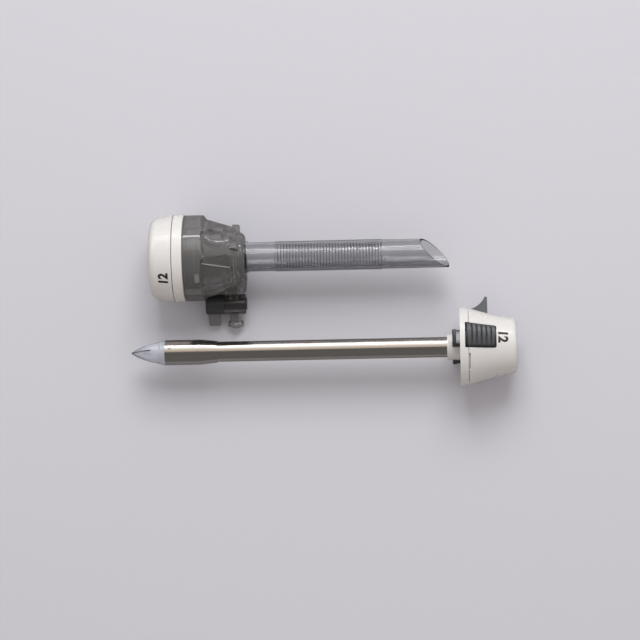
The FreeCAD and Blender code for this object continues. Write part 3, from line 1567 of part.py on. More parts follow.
def make_scope_lock():
    """Scope guide, pad and the fin lever whose cam ring presses the pad on the scope."""
    guide = new_body("scope_guide")
    guide_radius = spec.guide_bore + spec.guide_wall
    flange_start = spec.cam_start + spec.cam_length + spec.running_gap * 2
    turned(
        guide,
        "guide",
        [
            (spec.guide_start, spec.guide_bore),
            (spec.guide_start, guide_radius),
            (flange_start, guide_radius),
            (flange_start, spec.guide_flange_radius),
            (flange_start + spec.guide_flange_plate, spec.guide_flange_radius),
            (flange_start + spec.guide_flange_plate, guide_radius),
            (spec.handle_end, guide_radius),
            (spec.handle_end, spec.guide_bore + spec.guide_lead),
            (spec.handle_end - spec.guide_lead_depth, spec.guide_bore),
        ],
    )
    pad_start = spec.cam_start + (spec.cam_pocket - spec.pad_length) / 2
    slot = outline_sketch(
        guide,
        "pad_slot",
        rectangle(
            pad_start - spec.running_gap,
            pad_start + spec.pad_length + spec.running_gap,
            -guide_radius * 2,
            0,
        ),
    )
    extruded(guide, "pad_slot", slot, spec.pad_width + spec.running_gap * 2, "Pocket")
    lay(guide, "obturator")

    pad = new_body("scope_pad")
    half_width = spec.pad_width / 2
    crown_drop = spec.pad_crown - root(spec.pad_crown * spec.pad_crown - half_width * half_width)
    block = outline_sketch(
        pad,
        "pad",
        [
            Corner(-spec.guide_bore, -half_width),
            Corner(-spec.guide_bore, half_width),
            Corner(crown_drop - pad_outer, half_width),
            Corner(crown_drop - pad_outer, -half_width, bow=-spec.pad_crown),
        ],
        role="YZ_Plane",
        offset=placement_text(0, 0, pad_start, 0),
    )
    extruded(pad, "pad", block, spec.pad_length, both_sides=False)
    turned(
        pad,
        "pad_face",
        [
            (pad_start - 1, 0),
            (pad_start - 1, spec.guide_bore + spec.pad_play),
            (pad_start + spec.pad_length + 1, spec.guide_bore + spec.pad_play),
            (pad_start + spec.pad_length + 1, 0),
        ],
        kind="Groove",
    )
    lay(pad, "obturator")

    lever = new_body("scope_lock_lever")
    cam_end = spec.cam_start + spec.cam_length
    turned(
        lever,
        "cam_ring",
        [
            (spec.cam_start, 0),
            (spec.cam_start, spec.cam_radius),
            (cam_end, spec.cam_radius),
            (cam_end, 0),
        ],
    )
    shell_slope = (spec.seam_radius - spec.shell_waist_radius) / (spec.shell_waist - spec.seam_station)
    front_foot = spec.seam_radius - shell_slope * (spec.fin_start - spec.seam_station)
    back_foot = spec.seam_radius - shell_slope * (spec.fin_end - spec.seam_station)
    root_radius = spec.cam_radius - spec.fin_root_depth
    fin = outline_sketch(
        lever,
        "fin",
        [
            Corner(spec.cam_start + spec.fin_root_inset, root_radius),
            Corner(spec.cam_start + spec.fin_root_inset, front_foot - spec.fin_foot_drop - spec.fin_root_slope),
            Corner(spec.fin_start, front_foot - spec.fin_foot_drop),
            Corner(spec.fin_start, front_foot + spec.fin_foot_rise),
            Corner(spec.fin_tip - spec.fin_tip_flat / 2, spec.fin_reach, bow=-spec.fin_bow),
            Corner(spec.fin_tip + spec.fin_tip_flat / 2, spec.fin_reach - spec.fin_tip_fall / 4),
            Corner(spec.fin_end, spec.fin_reach - spec.fin_tip_fall),
            Corner(spec.fin_end, back_foot - spec.fin_foot_drop),
            Corner(cam_end - spec.fin_root_inset, back_foot - spec.fin_foot_drop - spec.fin_root_slope / 2),
            Corner(cam_end - spec.fin_root_inset, root_radius),
        ],
    )
    extruded(lever, "fin", fin, spec.fin_thickness)
    bore = new_sketch(lever, "ring_bore_outline", "YZ_Plane", placement_text(0, 0, cam_end, 0))
    add_circle(bore, 0, 0, guide_radius + spec.running_gap)
    extruded(lever, "ring_bore", bore, spec.cam_length * 3, "Pocket")
    cam = new_sketch(lever, "cam_outline", "YZ_Plane", placement_text(0, 0, spec.cam_start, 0))
    add_circle(cam, -spec.cam_offset, 0, spec.cam_bore)
    extruded(lever, "cam", cam, spec.cam_pocket * 2, "Pocket")
    lay(lever, "obturator")


make_seal_cap()
make_seal_carrier()
make_seal_stack()
make_housing_collar()
make_valve_housing()
make_duckbill()
make_cannula_sleeve()
make_stopcock_body()
make_stopcock_lever()
make_clear_tip()
make_shaft()
make_handle_base()
make_handle_shell()
make_latch("latch_front", flip=False)
make_latch("latch_rear", flip=True)
make_latch_spring("latch_spring_front", flip=False)
make_latch_spring("latch_spring_rear", flip=True)
make_scope_lock()

doc.recompute()

faults = []
for item in doc.Objects:
    if "Invalid" in item.State or "Error" in item.State:
        faults.append(f"{item.Name}: {item.State}")
for piece in pieces:
    if piece.Shape.isNull() or not piece.Shape.isValid():
        faults.append(f"{piece.Label}: shape is not valid")
if faults:
    raise RuntimeError("; ".join(faults))

os.makedirs("parts", exist_ok=True)
for piece in pieces:
    piece.Shape.exportStep(f"parts/{piece.Label}.step")
    box = piece.Shape.BoundBox
    print(
        f"{piece.Label:20s} solids {len(piece.Shape.Solids)} volume {piece.Shape.Volume:9.1f}"
        f"  x {box.XMin:7.2f} {box.XMax:7.2f}  y {box.YMin:7.2f} {box.YMax:7.2f}"
        f"  z {box.ZMin:6.2f} {box.ZMax:6.2f}"
    )
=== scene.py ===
# Laparoscopic trocar, 12 mm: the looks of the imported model, piece by piece.
# Its two units lie side by side on a table.
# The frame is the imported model's: metres, X along both units, Z up from the table.

import math

import bpy
from mathutils import Matrix, Vector


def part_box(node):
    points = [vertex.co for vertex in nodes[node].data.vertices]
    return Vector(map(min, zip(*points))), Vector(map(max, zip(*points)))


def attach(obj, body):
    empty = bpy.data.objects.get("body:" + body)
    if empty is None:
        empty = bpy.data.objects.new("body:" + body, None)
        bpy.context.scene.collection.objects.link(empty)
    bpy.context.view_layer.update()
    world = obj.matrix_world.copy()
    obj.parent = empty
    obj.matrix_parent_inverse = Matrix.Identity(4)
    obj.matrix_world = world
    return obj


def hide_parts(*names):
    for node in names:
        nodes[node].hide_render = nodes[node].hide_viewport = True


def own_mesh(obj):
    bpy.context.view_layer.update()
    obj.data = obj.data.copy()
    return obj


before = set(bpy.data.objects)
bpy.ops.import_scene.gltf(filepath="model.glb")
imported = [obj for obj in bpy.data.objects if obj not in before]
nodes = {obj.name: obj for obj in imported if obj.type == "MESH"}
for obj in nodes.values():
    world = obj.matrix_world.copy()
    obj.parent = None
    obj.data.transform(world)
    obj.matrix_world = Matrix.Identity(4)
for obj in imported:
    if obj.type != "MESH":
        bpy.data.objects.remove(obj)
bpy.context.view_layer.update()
bpy.ops.object.select_all(action="DESELECT")


# Sleeve of the cannula.
# A clear polycarbonate moulding, ribbed outside for grip, with its open end cut at 45 degrees.
# The mould leaves it bright, with one long highlight from the lights; its darker bands are painted shade
# in its colour: dark lines over the ribs on its upper half, and a darker near side.

NOISE_LOW = 0.3
NOISE_HIGH = 0.7
BUMP_STRENGTH = 0.4
CLEAR_INDEX = 1.46
CLEAR_WAVES = 60.0


def material_named(name):
    material = bpy.data.materials.new(name)
    material.use_nodes = True
    tree = material.node_tree
    shader = tree.nodes["Principled BSDF"]
    return material, tree, shader


def object_noise(tree, scale, detail=2.0, stretch=(1.0, 1.0, 1.0)):
    place = tree.nodes.new("ShaderNodeTexCoord")
    turn = tree.nodes.new("ShaderNodeMapping")
    turn.inputs["Scale"].default_value = stretch
    noise = tree.nodes.new("ShaderNodeTexNoise")
    noise.inputs["Scale"].default_value = scale
    noise.inputs["Detail"].default_value = detail
    tree.links.new(place.outputs["Object"], turn.inputs["Vector"])
    tree.links.new(turn.outputs["Vector"], noise.inputs["Vector"])
    return noise.outputs["Fac"]


def spread(tree, source, low, high):
    span = tree.nodes.new("ShaderNodeMapRange")
    span.inputs["From Min"].default_value = NOISE_LOW
    span.inputs["From Max"].default_value = NOISE_HIGH
    span.inputs["To Min"].default_value = low
    span.inputs["To Max"].default_value = high
    tree.links.new(source, span.inputs["Value"])
    return span.outputs["Result"]


def two_tones(tree, source, first, second):
    tones = tree.nodes.new("ShaderNodeValToRGB")
    tones.color_ramp.elements[0].position = NOISE_LOW
    tones.color_ramp.elements[1].position = NOISE_HIGH
    tones.color_ramp.elements[0].color = (*first, 1.0)
    tones.color_ramp.elements[1].color = (*second, 1.0)
    tree.links.new(source, tones.inputs["Fac"])
    return tones.outputs["Color"]


def clouded(tree, source, colour, share):
    return two_tones(tree, source, colour, [share * part for part in colour])


def varied_shine(tree, shader, source, shine, share):
    rough = spread(tree, source, (1 - share) * shine, (1 + share) * shine)
    tree.links.new(rough, shader.inputs["Roughness"])


def fine_bump(tree, shader, scale, height, stretch=(1.0, 1.0, 1.0)):
    bump = tree.nodes.new("ShaderNodeBump")
    bump.inputs["Distance"].default_value = height
    bump.inputs["Strength"].default_value = BUMP_STRENGTH
    tree.links.new(object_noise(tree, scale, stretch=stretch), bump.inputs["Height"])
    tree.links.new(bump.outputs["Normal"], shader.inputs["Normal"])


def finish_node(name, material):
    node = nodes[name]
    node.data.materials.clear()
    node.data.materials.append(material)


def clear_moulding(name, colour, shine, clearness):
    material, tree, shader = material_named(name)
    shader.inputs["Transmission Weight"].default_value = clearness
    shader.inputs["IOR"].default_value = CLEAR_INDEX
    waves = object_noise(tree, CLEAR_WAVES)
    tone = clouded(tree, waves, colour, 0.97)
    varied_shine(tree, shader, waves, shine, 0.2)
    return material, tree, shader, tone


def blended(tree, tone, mask, colour, how):
    blend = tree.nodes.new("ShaderNodeMix")
    blend.data_type = "RGBA"
    blend.blend_type = how
    blend.inputs["B"].default_value = (*colour, 1.0)
    tree.links.new(mask, blend.inputs["Factor"])
    tree.links.new(tone, blend.inputs["A"])
    return blend.outputs["Result"]


def darkened(tree, tone, mask, darkest):
    return blended(tree, tone, mask, darkest, "MULTIPLY")


def calculated(tree, operation, first, second=None):
    step = tree.nodes.new("ShaderNodeMath")
    step.operation = operation
    for socket, item in zip(step.inputs, (first, second)):
        if isinstance(item, (int, float)):
            socket.default_value = item
        elif item is not None:
            tree.links.new(item, socket)
    return step.outputs[0]


def product(tree, first, second):
    return calculated(tree, "MULTIPLY", first, second)


def distance_along(tree, start, direction):
    place = tree.nodes.new("ShaderNodeTexCoord")
    offset = tree.nodes.new("ShaderNodeVectorMath")
    offset.operation = "SUBTRACT"
    offset.inputs[1].default_value = start
    along = tree.nodes.new("ShaderNodeVectorMath")
    along.operation = "DOT_PRODUCT"
    along.inputs[1].default_value = direction
    tree.links.new(place.outputs["Object"], offset.inputs[0])
    tree.links.new(offset.outputs["Vector"], along.inputs[0])
    return along.outputs["Value"]


def ramped(tree, value, zero_at, one_at):
    ramp = tree.nodes.new("ShaderNodeMapRange")
    ramp.inputs["From Min"].default_value = zero_at
    ramp.inputs["From Max"].default_value = one_at
    tree.links.new(value, ramp.inputs["Value"])
    return ramp.outputs["Result"]


def between(tree, value, low, high, fade):
    rise = ramped(tree, value, low - fade, low + fade)
    fall = ramped(tree, value, high + fade, high - fade)
    return product(tree, rise, fall)


def repeated(tree, along, pitch, share):
    turn = calculated(tree, "FRACT", calculated(tree, "DIVIDE", along, pitch))
    from_middle = calculated(tree, "ABSOLUTE", calculated(tree, "SUBTRACT", turn, 0.5))
    return between(tree, from_middle, 0.5 - share, 1.0, share / 2)


def axis_of(name):
    low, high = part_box(name)
    return Vector((low[0], (low[1] + high[1]) / 2, (low[2] + high[2]) / 2))


RIB_PITCH = 0.0015
RIB_COUNT = 35
FIRST_RIB = 0.0150
RIB_SHARE = 0.18
RIB_PAINTED_SHADE = (0.50, 0.50, 0.51)
SLEEVE_RADIUS = 0.0071
SLEEVE_PAINTED_SHADE = (0.60, 0.60, 0.61)
SIDE_FADE = 0.0030
LINE_FADE = 0.0001
ALONG = (1.0, 0.0, 0.0)
UP = (0.0, 0.0, 1.0)
NEAR = (0.0, -1.0, 0.0)

cannula_axis = axis_of("seal_cap")
ribs_start = Vector((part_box("valve_housing")[1][0] + FIRST_RIB, 0.0, 0.0))
sleeve_clear, tree, shader, tone = clear_moulding("sleeve_clear", (0.70, 0.705, 0.72), 0.04, 1.0)
along = distance_along(tree, ribs_start, ALONG)
on_ribs = between(tree, along, 0.0, RIB_PITCH * RIB_COUNT, LINE_FADE)
# Painted shade: dark lines over the ribs, on the upper half only, for light bent away at the rib flanks.
rib_shade_lines = product(tree, repeated(tree, along, RIB_PITCH, RIB_SHARE), on_ribs)
upper_side = ramped(tree, distance_along(tree, cannula_axis, UP), -SIDE_FADE, SIDE_FADE)
tone = darkened(tree, tone, product(tree, rib_shade_lines, upper_side), RIB_PAINTED_SHADE)
# Painted shade: the sleeve's colour is darkened towards its near edge.
near_side = ramped(tree, distance_along(tree, cannula_axis, NEAR), 0.0, SLEEVE_RADIUS)
tree.links.new(darkened(tree, tone, near_side, SLEEVE_PAINTED_SHADE), shader.inputs["Base Color"])
finish_node("cannula_sleeve", sleeve_clear)


# Seals of the cannula.
# The O-ring and the duckbill are moulded in rubber: one black, the other a milky silicone.

RUBBER_CLOUDS = 300.0


def elastomer(name, colour, shine):
    material, tree, shader = material_named(name)
    cloud = object_noise(tree, RUBBER_CLOUDS)
    tree.links.new(clouded(tree, cloud, colour, 0.9), shader.inputs["Base Color"])
    varied_shine(tree, shader, cloud, shine, 0.1)
    return material


black_rubber = elastomer("black_rubber", (0.03, 0.03, 0.03), 0.6)
milky_silicone = elastomer("milky_silicone", (0.50, 0.50, 0.46), 0.45)
finish_node("sleeve_o_ring", black_rubber)
finish_node("duckbill_valve", milky_silicone)


# White mouldings of the head.
# Warm white polymer off a fine-ground mould: satin, with a soft sheen along its edges.

WHITE_CLOUDS = 90.0
WHITE_GRAIN = 2500.0
GRAIN_HEIGHT = 0.00001


def white_moulding(name, colour, shine):
    material, tree, shader = material_named(name)
    cloud = object_noise(tree, WHITE_CLOUDS)
    tree.links.new(clouded(tree, cloud, colour, 0.97), shader.inputs["Base Color"])
    varied_shine(tree, shader, cloud, shine, 0.15)
    fine_bump(tree, shader, WHITE_GRAIN, GRAIN_HEIGHT)
    shader.inputs["Specular IOR Level"].default_value = 0.5
    return material


warm_white = white_moulding("warm_white", (0.74, 0.72, 0.69), 0.28)
for name in (
    "housing_collar",
    "duckbill_retainer",
    "seal_cap",
    "seal_carrier",
    "seal_crown",
    "seal_retainer",
):
    finish_node(name, warm_white)


# Valve housing.
# A glossy moulding in smoke grey, dark but not opaque, with finger panels and scallops in its dome.
# The raised marks on its band and the lines at each panel's end carry painted highlights: their colour
# is blended towards a pale tone where they would catch the light.

SMOKE_CLOUDS = 70.0
SMOKE_INDEX = 1.5


def smoke_moulding(name, colour, shine, clearness):
    material, tree, shader = material_named(name)
    cloud = object_noise(tree, SMOKE_CLOUDS)
    tone = clouded(tree, cloud, colour, 0.9)
    varied_shine(tree, shader, cloud, shine, 0.2)
    shader.inputs["Transmission Weight"].default_value = clearness
    shader.inputs["IOR"].default_value = SMOKE_INDEX
    return material, tree, shader, tone


CAP_OUT = (0.0, -0.4916, 0.8708)
STOPCOCK_OUT = (0.0, -0.8708, -0.4916)
MARK_START = 0.0059
MARK_END = 0.0083
MARK_HALF = 0.0026
BAND_RADIUS = 0.0212
PANEL_FOOT = 0.0231
PANEL_END = 0.0248
PANEL_UP = -0.0064
PANEL_DOWN = 0.0092
PAINTED_HIGHLIGHT_TONE = (0.95, 0.94, 0.92)
MARK_HIGHLIGHT_STRENGTH = 0.55
PANEL_HIGHLIGHT_STRENGTH = 0.60

housing_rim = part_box("housing_collar")[1][0]
rim_centre = Vector((housing_rim, cannula_axis.y, cannula_axis.z))
smoke_grey, tree, shader, tone = smoke_moulding("smoke_grey", (0.33, 0.325, 0.32), 0.07, 0.70)
along = distance_along(tree, rim_centre, ALONG)
reach = distance_along(tree, rim_centre, STOPCOCK_OUT)
high = calculated(tree, "ABSOLUTE", distance_along(tree, rim_centre, CAP_OUT))
# Painted highlights: the tops of the raised marks and the lines at each panel's end are made paler.
mark_length = between(tree, along, MARK_START, MARK_END, LINE_FADE)
mark_width = between(tree, reach, -MARK_HALF, MARK_HALF, LINE_FADE)
above_band = ramped(tree, high, BAND_RADIUS, BAND_RADIUS + 2 * LINE_FADE)
mark_highlight = product(tree, product(tree, mark_length, mark_width), above_band)
foot_line, end_line = [
    between(tree, along, station - LINE_FADE, station + LINE_FADE, LINE_FADE)
    for station in (PANEL_FOOT, PANEL_END)
]
on_panel = between(tree, reach, PANEL_UP, PANEL_DOWN, LINE_FADE)
panel_highlight_lines = product(tree, calculated(tree, "MAXIMUM", foot_line, end_line), on_panel)
tone = blended(tree, tone, product(tree, mark_highlight, MARK_HIGHLIGHT_STRENGTH), PAINTED_HIGHLIGHT_TONE, "MIX")
tone = blended(tree, tone, product(tree, panel_highlight_lines, PANEL_HIGHLIGHT_STRENGTH), PAINTED_HIGHLIGHT_TONE, "MIX")
tree.links.new(tone, shader.inputs["Base Color"])
finish_node("valve_housing", smoke_grey)


# Finger panel's bead.
# A fine round bead is moulded across each finger panel, on a slant from its outer corner to the middle;
# its pale grey is a painted highlight, standing in for the light line along the panel's edge.
# Its ends are given along the housing from the rim, towards the stopcock, and out from the axis.

BEAD_RADIUS = 0.00028
BEAD_START = Vector((0.0094, -0.0063, 0.01751))
BEAD_END = Vector((0.0230, -0.0013, 0.01294))
BEAD_ROUNDING = 0.8 * BEAD_RADIUS


def beside_rim(along, reach, high):
    return rim_centre + Vector((along, 0.0, 0.0)) + reach * Vector(STOPCOCK_OUT) + high * Vector(CAP_OUT)


# Painted highlight: the bead's grey is much paler than the housing's.
bead_highlight_grey, tree, shader, tone = smoke_moulding("bead_highlight_grey", (0.60, 0.59, 0.57), 0.12, 0.45)
tree.links.new(tone, shader.inputs["Base Color"])
for name, side in (("panel_highlight_bead_front", 1.0), ("panel_highlight_bead_rear", -1.0)):
    start = beside_rim(BEAD_START.x, BEAD_START.y, side * BEAD_START.z)
    end = beside_rim(BEAD_END.x, BEAD_END.y, side * BEAD_END.z)
    run = end - start
    bpy.ops.object.select_all(action="DESELECT")
    bpy.ops.mesh.primitive_cylinder_add(
        vertices=16,
        radius=BEAD_RADIUS,
        depth=run.length,
        location=(start + end) / 2,
        rotation=run.to_track_quat("Z", "Y").to_euler(),
    )
    bead = bpy.context.object
    bead.name = name
    bpy.ops.object.transform_apply(location=True, rotation=True, scale=True)
    rounding = bead.modifiers.new("rounding", "BEVEL")
    rounding.width = BEAD_ROUNDING
    rounding.segments = 3
    bpy.ops.object.modifier_apply(modifier=rounding.name)
    bpy.ops.object.shade_smooth()
    bead.data.materials.append(bead_highlight_grey)
    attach(bead, "cannula")


# Stopcock.
# The barrel and its port are one clear smoke grey moulding; near the barrel it is darkened by painted
# shade, the shade under the housing's overhang, so the port shows paler.
# The key is opaque dark grey; its hub beside the barrel is darkened by painted shade too, so its paddle
# shows paler than the hub.

DARK_CLOUDS = 120.0
DARK_GRAIN = 3000.0


def dark_moulding(name, colour, shine):
    material, tree, shader = material_named(name)
    cloud = object_noise(tree, DARK_CLOUDS)
    tone = clouded(tree, cloud, colour, 0.88)
    varied_shine(tree, shader, cloud, shine, 0.15)
    fine_bump(tree, shader, DARK_GRAIN, GRAIN_HEIGHT)
    return material, tree, shader, tone


BARREL_EDGE = 0.0305
BARREL_FADE = 0.0005


# Painted shade: this mask darkens what lies within the barrel's reach, under the housing's overhang.
def barrel_painted_shade(tree):
    reach = distance_along(tree, cannula_axis, STOPCOCK_OUT)
    return ramped(tree, reach, BARREL_EDGE + BARREL_FADE, BARREL_EDGE - BARREL_FADE)


port_grey, tree, shader, tone = smoke_moulding("port_grey", (0.62, 0.61, 0.60), 0.10, 0.85)
tone = darkened(tree, tone, barrel_painted_shade(tree), (0.31, 0.31, 0.31))
tree.links.new(tone, shader.inputs["Base Color"])
finish_node("stopcock_body", port_grey)

key_grey, tree, shader, tone = dark_moulding("key_grey", (0.20, 0.20, 0.197), 0.35)
tone = darkened(tree, tone, barrel_painted_shade(tree), (0.25, 0.25, 0.26))
tree.links.new(tone, shader.inputs["Base Color"])
finish_node("stopcock_lever", key_grey)


# Soft parts of the seal cap.
# Four thin film leaves guard a silicone lip seal, which floats on a thin gasket.

leaf_film = elastomer("leaf_film", (0.62, 0.62, 0.60), 0.25)
finish_node("seal_leaves", leaf_film)
finish_node("lip_seal", milky_silicone)
finish_node("float_gasket", milky_silicone)


# Clear tip of the obturator.
# A hollow polycarbonate cone with a ridge along each side, faintly milky where its walls are thick; its
# ridge lines and its rim near the point are darkened by painted shade.

RIDGE_HALF = 0.0004
RIDGE_LENGTH = 0.0098
RIDGE_FADE = 0.0008
EDGE_BLEND = 0.45
POINT_LENGTH = 0.0085
LATCH_ACROSS = (0.0, 0.9426, -0.3338)

obturator_axis = axis_of("clear_tip")
tip_clear, tree, shader, tone = clear_moulding("tip_clear", (0.84, 0.86, 0.92), 0.16, 0.65)
along = distance_along(tree, obturator_axis, ALONG)
across = distance_along(tree, obturator_axis, LATCH_ACROSS)
line = between(tree, across, -RIDGE_HALF, RIDGE_HALF, LINE_FADE)
on_ridge = ramped(tree, along, RIDGE_LENGTH + RIDGE_FADE, RIDGE_LENGTH - RIDGE_FADE)
# Painted shade: a dark line down each ridge, and a rim darkened towards its grazing edges near the
# point.
tone = darkened(tree, tone, product(tree, line, on_ridge), (0.06, 0.07, 0.11))
edge = tree.nodes.new("ShaderNodeLayerWeight")
edge.inputs["Blend"].default_value = EDGE_BLEND
rim_shade = product(tree, edge.outputs["Facing"], ramped(tree, along, POINT_LENGTH, 0.0))
tree.links.new(darkened(tree, tone, rim_shade, (0.03, 0.03, 0.06)), shader.inputs["Base Color"])
finish_node("clear_tip", tip_clear)


# Steel of the obturator.
# The tube and the ferrule are drawn stainless steel, bright and faintly warm, with lines along them.

STEEL_LINES = 900.0
LINE_STRETCH = (0.01, 1.0, 1.0)


def drawn_steel(name, colour, shine):
    material, tree, shader = material_named(name)
    shader.inputs["Metallic"].default_value = 1.0
    lines = object_noise(tree, STEEL_LINES, stretch=LINE_STRETCH)
    tree.links.new(clouded(tree, lines, colour, 0.93), shader.inputs["Base Color"])
    varied_shine(tree, shader, lines, shine, 0.2)
    return material


bright_steel = drawn_steel("bright_steel", (0.70, 0.67, 0.64), 0.15)
spring_wire = drawn_steel("spring_wire", (0.50, 0.50, 0.50), 0.3)
for name in ("tube_ferrule", "obturator_tube", "tube_stop_ring"):
    finish_node(name, bright_steel)
finish_node("latch_spring_front", spring_wire)
finish_node("latch_spring_rear", spring_wire)


# Handle.
# Base, shell and scope guide are moulded in the cap's warm white.

for name in ("handle_base", "handle_shell", "scope_guide"):
    finish_node(name, warm_white)


# Buttons and hooks.
# Matt dark grey polymer, ribbed across each button; its grooves and the edge round them are darkened by
# painted shade.
# The front hook's outer face is painted pale: a painted highlight, the reflection of the bright wall.

BUTTON_START = 0.1660
BUTTON_END = 0.1801
BUTTON_HALF = 0.00615
BUTTON_TAPER = 0.0603
BUTTON_EDGE = 0.0007
BUTTON_RIBS = 6
BUTTON_OUT = (0.0, 0.3338, 0.9426)
HOOK_FACE = 0.1608
FLANGE_INSIDE = 0.1640
ARM_OUTSIDE = 0.0144
GROOVE_SHARE = 0.16
EDGE_FADE = 0.0002
HOOK_LEFT = -0.0031
HOOK_RIGHT = 0.0035
HOOK_FADE = 0.0004

button_grey, tree, shader, tone = dark_moulding("button_grey", (0.062, 0.066, 0.073), 0.30)
along = distance_along(tree, obturator_axis + Vector((BUTTON_START, 0.0, 0.0)), ALONG)
across = distance_along(tree, obturator_axis, LATCH_ACROSS)
taper = product(tree, along, BUTTON_TAPER)
off_middle = calculated(tree, "ADD", calculated(tree, "ABSOLUTE", across), taper)
length = BUTTON_END - BUTTON_START
half = BUTTON_HALF - BUTTON_EDGE
# Painted shade: the grooves and a frame round each button are darkened.
field_length = between(tree, along, BUTTON_EDGE, length - BUTTON_EDGE, EDGE_FADE)
field_width = ramped(tree, off_middle, half + EDGE_FADE, half - EDGE_FADE)
edge_painted_shade = calculated(tree, "SUBTRACT", 1.0, product(tree, field_length, field_width))
groove_painted_shade = repeated(tree, along, length / BUTTON_RIBS, GROOVE_SHARE)
tone = darkened(tree, tone, calculated(tree, "MAXIMUM", groove_painted_shade, edge_painted_shade), (0.35, 0.35, 0.36))
from_point = distance_along(tree, obturator_axis, ALONG)
outward = distance_along(tree, obturator_axis, BUTTON_OUT)
# Painted highlight: a pale patch on the front hook's outer face.
hook_reach = between(tree, from_point, HOOK_FACE, FLANGE_INSIDE, LINE_FADE)
hook_width = between(tree, across, HOOK_LEFT, HOOK_RIGHT, LINE_FADE)
hook_side = ramped(tree, outward, ARM_OUTSIDE - HOOK_FADE, ARM_OUTSIDE)
hook_painted_highlight = product(tree, product(tree, hook_reach, hook_width), hook_side)
tone = blended(tree, tone, hook_painted_highlight, (0.52, 0.52, 0.56), "MIX")
tree.links.new(tone, shader.inputs["Base Color"])
finish_node("latch_front", button_grey)
finish_node("latch_rear", button_grey)


# Latch springs.
# Each button stands on a small coil of drawn wire inside the handle.

COIL_STATION = 0.1682
COIL_FOOT = 0.00823
COIL_RADIUS = 0.0011
COIL_PITCH = 0.00118
COIL_TURNS = 3
COIL_STEPS = 24
WIRE_RADIUS = 0.00018

for name, joint, outward in (
    ("front", "latch_front_press", Vector(BUTTON_OUT)),
    ("rear", "latch_rear_press", -Vector(BUTTON_OUT)),
):
    bpy.ops.object.select_all(action="DESELECT")
    bpy.ops.mesh.primitive_circle_add(
        vertices=12,
        radius=WIRE_RADIUS,
        location=(COIL_RADIUS, 0.0, 0.0),
        rotation=(math.pi / 2, 0.0, 0.0),
    )
    coil = bpy.context.object
    coil.name = "latch_coil_" + name
    bpy.ops.object.transform_apply(location=True, rotation=True, scale=True)
    winding = coil.modifiers.new("winding", "SCREW")
    winding.screw_offset = COIL_PITCH
    winding.iterations = COIL_TURNS
    winding.steps = COIL_STEPS
    winding.render_steps = COIL_STEPS
    bpy.ops.object.modifier_apply(modifier=winding.name)
    bpy.ops.object.mode_set(mode="EDIT")
    bpy.ops.mesh.select_all(action="SELECT")
    bpy.ops.mesh.fill_holes(sides=0)
    bpy.ops.mesh.normals_make_consistent(inside=False)
    bpy.ops.object.mode_set(mode="OBJECT")
    foot = obturator_axis + Vector((COIL_STATION, 0.0, 0.0)) + COIL_FOOT * outward
    stand = outward.to_track_quat("Z", "Y").to_matrix().to_4x4()
    coil.matrix_world = Matrix.Translation(foot) @ stand
    bpy.ops.object.transform_apply(location=True, rotation=True, scale=True)
    bpy.ops.object.shade_smooth()
    coil.data.materials.append(spring_wire)
    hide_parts("latch_spring_" + name)
    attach(coil, "obturator")
    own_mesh(coil)


# Fin lever.
# The lever that locks the scope is moulded in the same dark grey; its pad is black rubber.

fin_grey, tree, shader, tone = dark_moulding("fin_grey", (0.085, 0.088, 0.095), 0.32)
tree.links.new(tone, shader.inputs["Base Color"])
finish_node("scope_lock_lever", fin_grey)
finish_node("scope_pad", black_rubber)


# Size marks.
# The port's size, a plain 12 in dark ink, is printed on the cap's side and beside the front button.
# Each figure is set flat, wrapped on the moulding under it, and given the thickness of a coat of ink.

MARK_HEIGHT = 0.0046
MARK_SLICE = 0.0004
INK_COAT = 0.00005
MARK_SLICES = 9
FIGURE_SHARE = 0.7
STROKE_GROWTH = 0.06
CAP_MARK = Vector((0.0075, 0.0, 0.0)) + 0.0215 * Vector(CAP_OUT)
HANDLE_MARK = Vector((0.1836, 0.0, 0.0)) + 0.0150 * Vector(BUTTON_OUT)

printed_ink, tree, shader, tone = dark_moulding("printed_ink", (0.022, 0.022, 0.024), 0.5)
tree.links.new(tone, shader.inputs["Base Color"])


def size_mark(name, body, under, place, right, up):
    bpy.ops.object.select_all(action="DESELECT")
    bpy.ops.object.text_add()
    figures = bpy.context.object
    figures.data.body = "12"
    figures.data.size = MARK_HEIGHT / FIGURE_SHARE
    figures.data.offset = STROKE_GROWTH * MARK_HEIGHT
    figures.data.align_x = "CENTER"
    figures.data.align_y = "CENTER"
    bpy.ops.object.convert(target="MESH")
    mark = bpy.context.object
    mark.name = name
    bpy.ops.object.mode_set(mode="EDIT")
    bpy.ops.mesh.select_all(action="SELECT")
    bpy.ops.mesh.remove_doubles(threshold=0.000001)
    for axis in ((1, 0, 0), (0, 1, 0)):
        for step in range(-MARK_SLICES, MARK_SLICES + 1):
            cut = [part * step * MARK_SLICE for part in axis]
            bpy.ops.mesh.select_all(action="SELECT")
            bpy.ops.mesh.bisect(plane_co=cut, plane_no=axis)
    bpy.ops.object.mode_set(mode="OBJECT")
    facing = Matrix((right, up, right.cross(up))).transposed().to_4x4()
    mark.matrix_world = Matrix.Translation(place) @ facing
    bpy.ops.object.transform_apply(location=True, rotation=True, scale=True)
    wrap = mark.modifiers.new("wrap", "SHRINKWRAP")
    wrap.target = nodes[under]
    wrap.wrap_mode = "ABOVE_SURFACE"
    wrap.offset = INK_COAT
    bpy.ops.object.modifier_apply(modifier=wrap.name)
    coat = mark.modifiers.new("coat", "SOLIDIFY")
    coat.thickness = INK_COAT
    bpy.ops.object.modifier_apply(modifier=coat.name)
    mark.data.materials.append(printed_ink)
    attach(mark, body)


